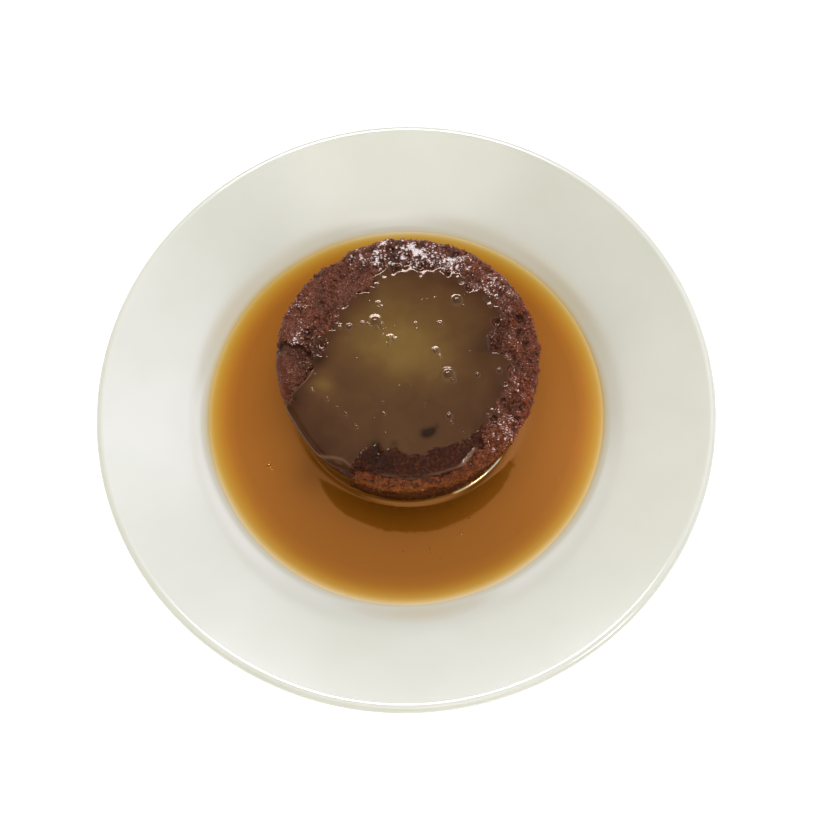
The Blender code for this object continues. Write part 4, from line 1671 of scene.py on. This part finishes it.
def pool_bubbles(pool: SaucePool) -> Bubbles:
    """The bubbles in the pool."""

    def looks(x: float, y: float) -> dict[str, float]:
        """What the sauce's finish reads there."""
        return {"depth": 4.6, "lee": float(pool.lee(np.array([x, y])))}

    rows = list(POOL_BUBBLES)
    # Painted highlight: the rims are painted as shallower, paler sauce
    rim = ("depth", -2.4)
    return Bubbles("pool_bubbles", "toffee_sauce", rows, lambda x, y: pool.level, looks, rim, "lee")


# ------------------------------------------------------------------------------------------------ studio


def bearing_vector(azimuth: float, elevation: float) -> Vector:
    """The direction at an azimuth, in degrees anticlockwise from +X, and an elevation."""
    turn, rise = math.radians(azimuth), math.radians(elevation)
    return Vector((math.cos(turn) * math.cos(rise), math.sin(turn) * math.cos(rise), math.sin(rise)))


@dataclass(frozen=True)
class SkyPatch:
    """A bright patch of the studio's sky, with a soft edge."""

    azimuth: float
    elevation: float
    inner: float  # degrees from its middle to where it starts to fade
    outer: float
    radiance: float
    colour: str

    def add(self, tree: Tree, direction: Socket, below: Socket) -> Socket:
        """Adds the patch to the sky.

        Args:
            tree: The world's node tree.
            direction: The direction that is looked in.
            below: The sky's colour so far.

        Returns:
            The colour with the patch on it.
        """
        axis = bearing_vector(self.azimuth, self.elevation)
        aim = add_node(tree, "VectorMath", {0: direction, 1: axis}, operation="DOT_PRODUCT")
        edges = [math.cos(math.radians(angle)) for angle in (self.outer, self.inner)]
        reach = {"Value": aim.outputs["Value"], "From Min": edges[0], "From Max": edges[1]}
        share = add_node(tree, "MapRange", reach, interpolation_type="SMOOTHSTEP")
        glow = [channel * self.radiance for channel in linear(self.colour)[:3]] + [1.0]
        layer = {"Factor": share.outputs["Result"], "A": below, "B": glow}
        return add_node(tree, "Mix", layer, data_type="RGBA", blend_type="ADD").outputs["Result"]


@dataclass(frozen=True)
class SoftPanel:
    """A light panel that faces the plate."""

    name: str
    azimuth: float
    elevation: float
    distance: float  # metres
    size: tuple[float, float]
    radiance: float
    colour: str
    glints_only: bool = False

    def build(self) -> bpy.types.Object:
        """Builds the panel."""
        lamp = bpy.data.lights.new(self.name, "AREA")
        lamp.shape = "RECTANGLE"
        lamp.size, lamp.size_y = self.size
        lamp.energy = self.radiance * math.pi * self.size[0] * self.size[1]
        lamp.color = linear(self.colour)[:3]
        panel = bpy.data.objects.new(self.name, lamp)
        direction = bearing_vector(self.azimuth, self.elevation)
        panel.location = direction * self.distance
        panel.rotation_euler = direction.to_track_quat("Z", "Y").to_euler()
        panel.visible_diffuse = not self.glints_only
        bpy.context.scene.collection.objects.link(panel)
        return panel


@dataclass(frozen=True)
class Studio:
    """The floor and the soft light."""

    paper: StudioPaper = StudioPaper()
    sky: str = "#FFFDEE"
    sky_radiance: float = 0.33
    patches: tuple[SkyPatch, ...] = (
        SkyPatch(90.0, 82.0, 8.0, 20.0, 1.3, "#FFFDF4"),
        SkyPatch(270.0, 68.0, 8.0, 22.0, 2.2, "#FFFDF0"),
        SkyPatch(25.0, 58.0, 8.0, 24.0, 2.35, "#E6E9FF"),
        SkyPatch(50.0, 45.0, 8.0, 24.0, 1.5, "#E8EBFF"),
        SkyPatch(300.0, 45.0, 8.0, 24.0, 0.8, "#FFFDF0"),
        SkyPatch(200.0, 40.0, 8.0, 22.0, 1.0, "#FFFDF0"),
        SkyPatch(90.0, 30.0, 8.0, 22.0, 0.3, "#FFF9E6"),
        SkyPatch(130.0, 50.0, 8.0, 22.0, 0.85, "#FFF9E6"),
    )
    panels: tuple[SoftPanel, ...] = (
        SoftPanel("back_window", 90.0, 52.5, 1.6, (0.62, 0.24), 75.0, "#F2F6FF", True),
        SoftPanel("front_window", -42.0, 42.0, 1.5, (0.3, 0.24), 55.0, "#FFF8F0", True),
    )

    def build(self) -> None:
        """Builds the floor, the sky and the panels."""
        shape = bmesh.new()
        bmesh.ops.create_grid(shape, x_segments=1, y_segments=1, size=4.0)
        mesh = bpy.data.meshes.new("studio_floor")
        shape.to_mesh(mesh)
        shape.free()
        mesh.materials.append(self.paper.make())
        floor = bpy.data.objects.new("studio_floor", mesh)
        bpy.context.scene.collection.objects.link(floor)
        world = bpy.data.worlds.new("studio_sky")
        world.use_nodes = True
        tree = world.node_tree
        direction = add_node(tree, "TexCoord").outputs["Generated"]
        base = [channel * self.sky_radiance for channel in linear(self.sky)[:3]] + [1.0]
        colour = add_node(tree, "Mix", {"Factor": 0.0, "A": base}, data_type="RGBA").outputs["Result"]
        for patch in self.patches:
            colour = patch.add(tree, direction, colour)
        tree.links.new(colour, tree.nodes["Background"].inputs["Color"])
        bpy.context.scene.world = world
        bpy.context.scene.view_settings.view_transform = "Standard"
        for panel in self.panels:
            panel.build()


@dataclass(frozen=True)
class Viewpoint:
    """The camera: high over the diner's side, a little rolled."""

    elevation: float = math.radians(71.47)
    distance: float = 0.426
    focal_pixels: float = 1076.0
    roll: float = math.radians(4.05)
    aim: tuple[float, float] = (406.1, 416.3)  # where the origin falls in the picture, in pixels
    picture: int = 832
    sensor_mm: float = 36.0

    def build(self) -> bpy.types.Object:
        """Builds the camera and makes it the scene's."""
        towards = Vector((0.0, -math.cos(self.elevation), math.sin(self.elevation)))
        side = Vector((1.0, 0.0, 0.0))
        top = towards.cross(side)
        right = side * math.cos(self.roll) - top * math.sin(self.roll)
        up = side * math.sin(self.roll) + top * math.cos(self.roll)
        lens = bpy.data.cameras.new("camera")
        lens.sensor_width = self.sensor_mm
        lens.lens = self.focal_pixels / self.picture * self.sensor_mm
        lens.shift_x = (self.picture / 2 - self.aim[0]) / self.picture
        lens.shift_y = (self.aim[1] - self.picture / 2) / self.picture
        lens.clip_start = 0.01
        camera = bpy.data.objects.new("camera", lens)
        turned = Matrix((right, up, towards)).transposed().to_4x4()
        camera.matrix_world = Matrix.Translation(towards * self.distance) @ turned
        bpy.context.scene.collection.objects.link(camera)
        bpy.context.scene.camera = camera
        return camera


def main() -> None:
    """Builds the plate, the pudding, its sauce and the studio."""
    logging.basicConfig(level=logging.INFO, format="%(message)s")
    plate_form = PlateForm()
    pudding_form = PuddingForm()
    ChinaPlate(plate_form, pudding_form).build()
    sponge = DateSponge(pudding_form)
    sponge_piece = sponge.build()
    CrumbGrains(sponge, sponge_piece.data.materials[0]).build()
    glaze = GlazeSheet(sponge)
    glaze_piece = glaze.build()
    glaze_bubbles(glaze).build(glaze_piece.data.materials[0])
    pool = SaucePool(plate_form, pudding_form)
    pool_piece = pool.build()
    pool_bubbles(pool).build(pool_piece.data.materials[0])
    Studio().build()
    Viewpoint().build()


if __name__ == "__main__":
    main()
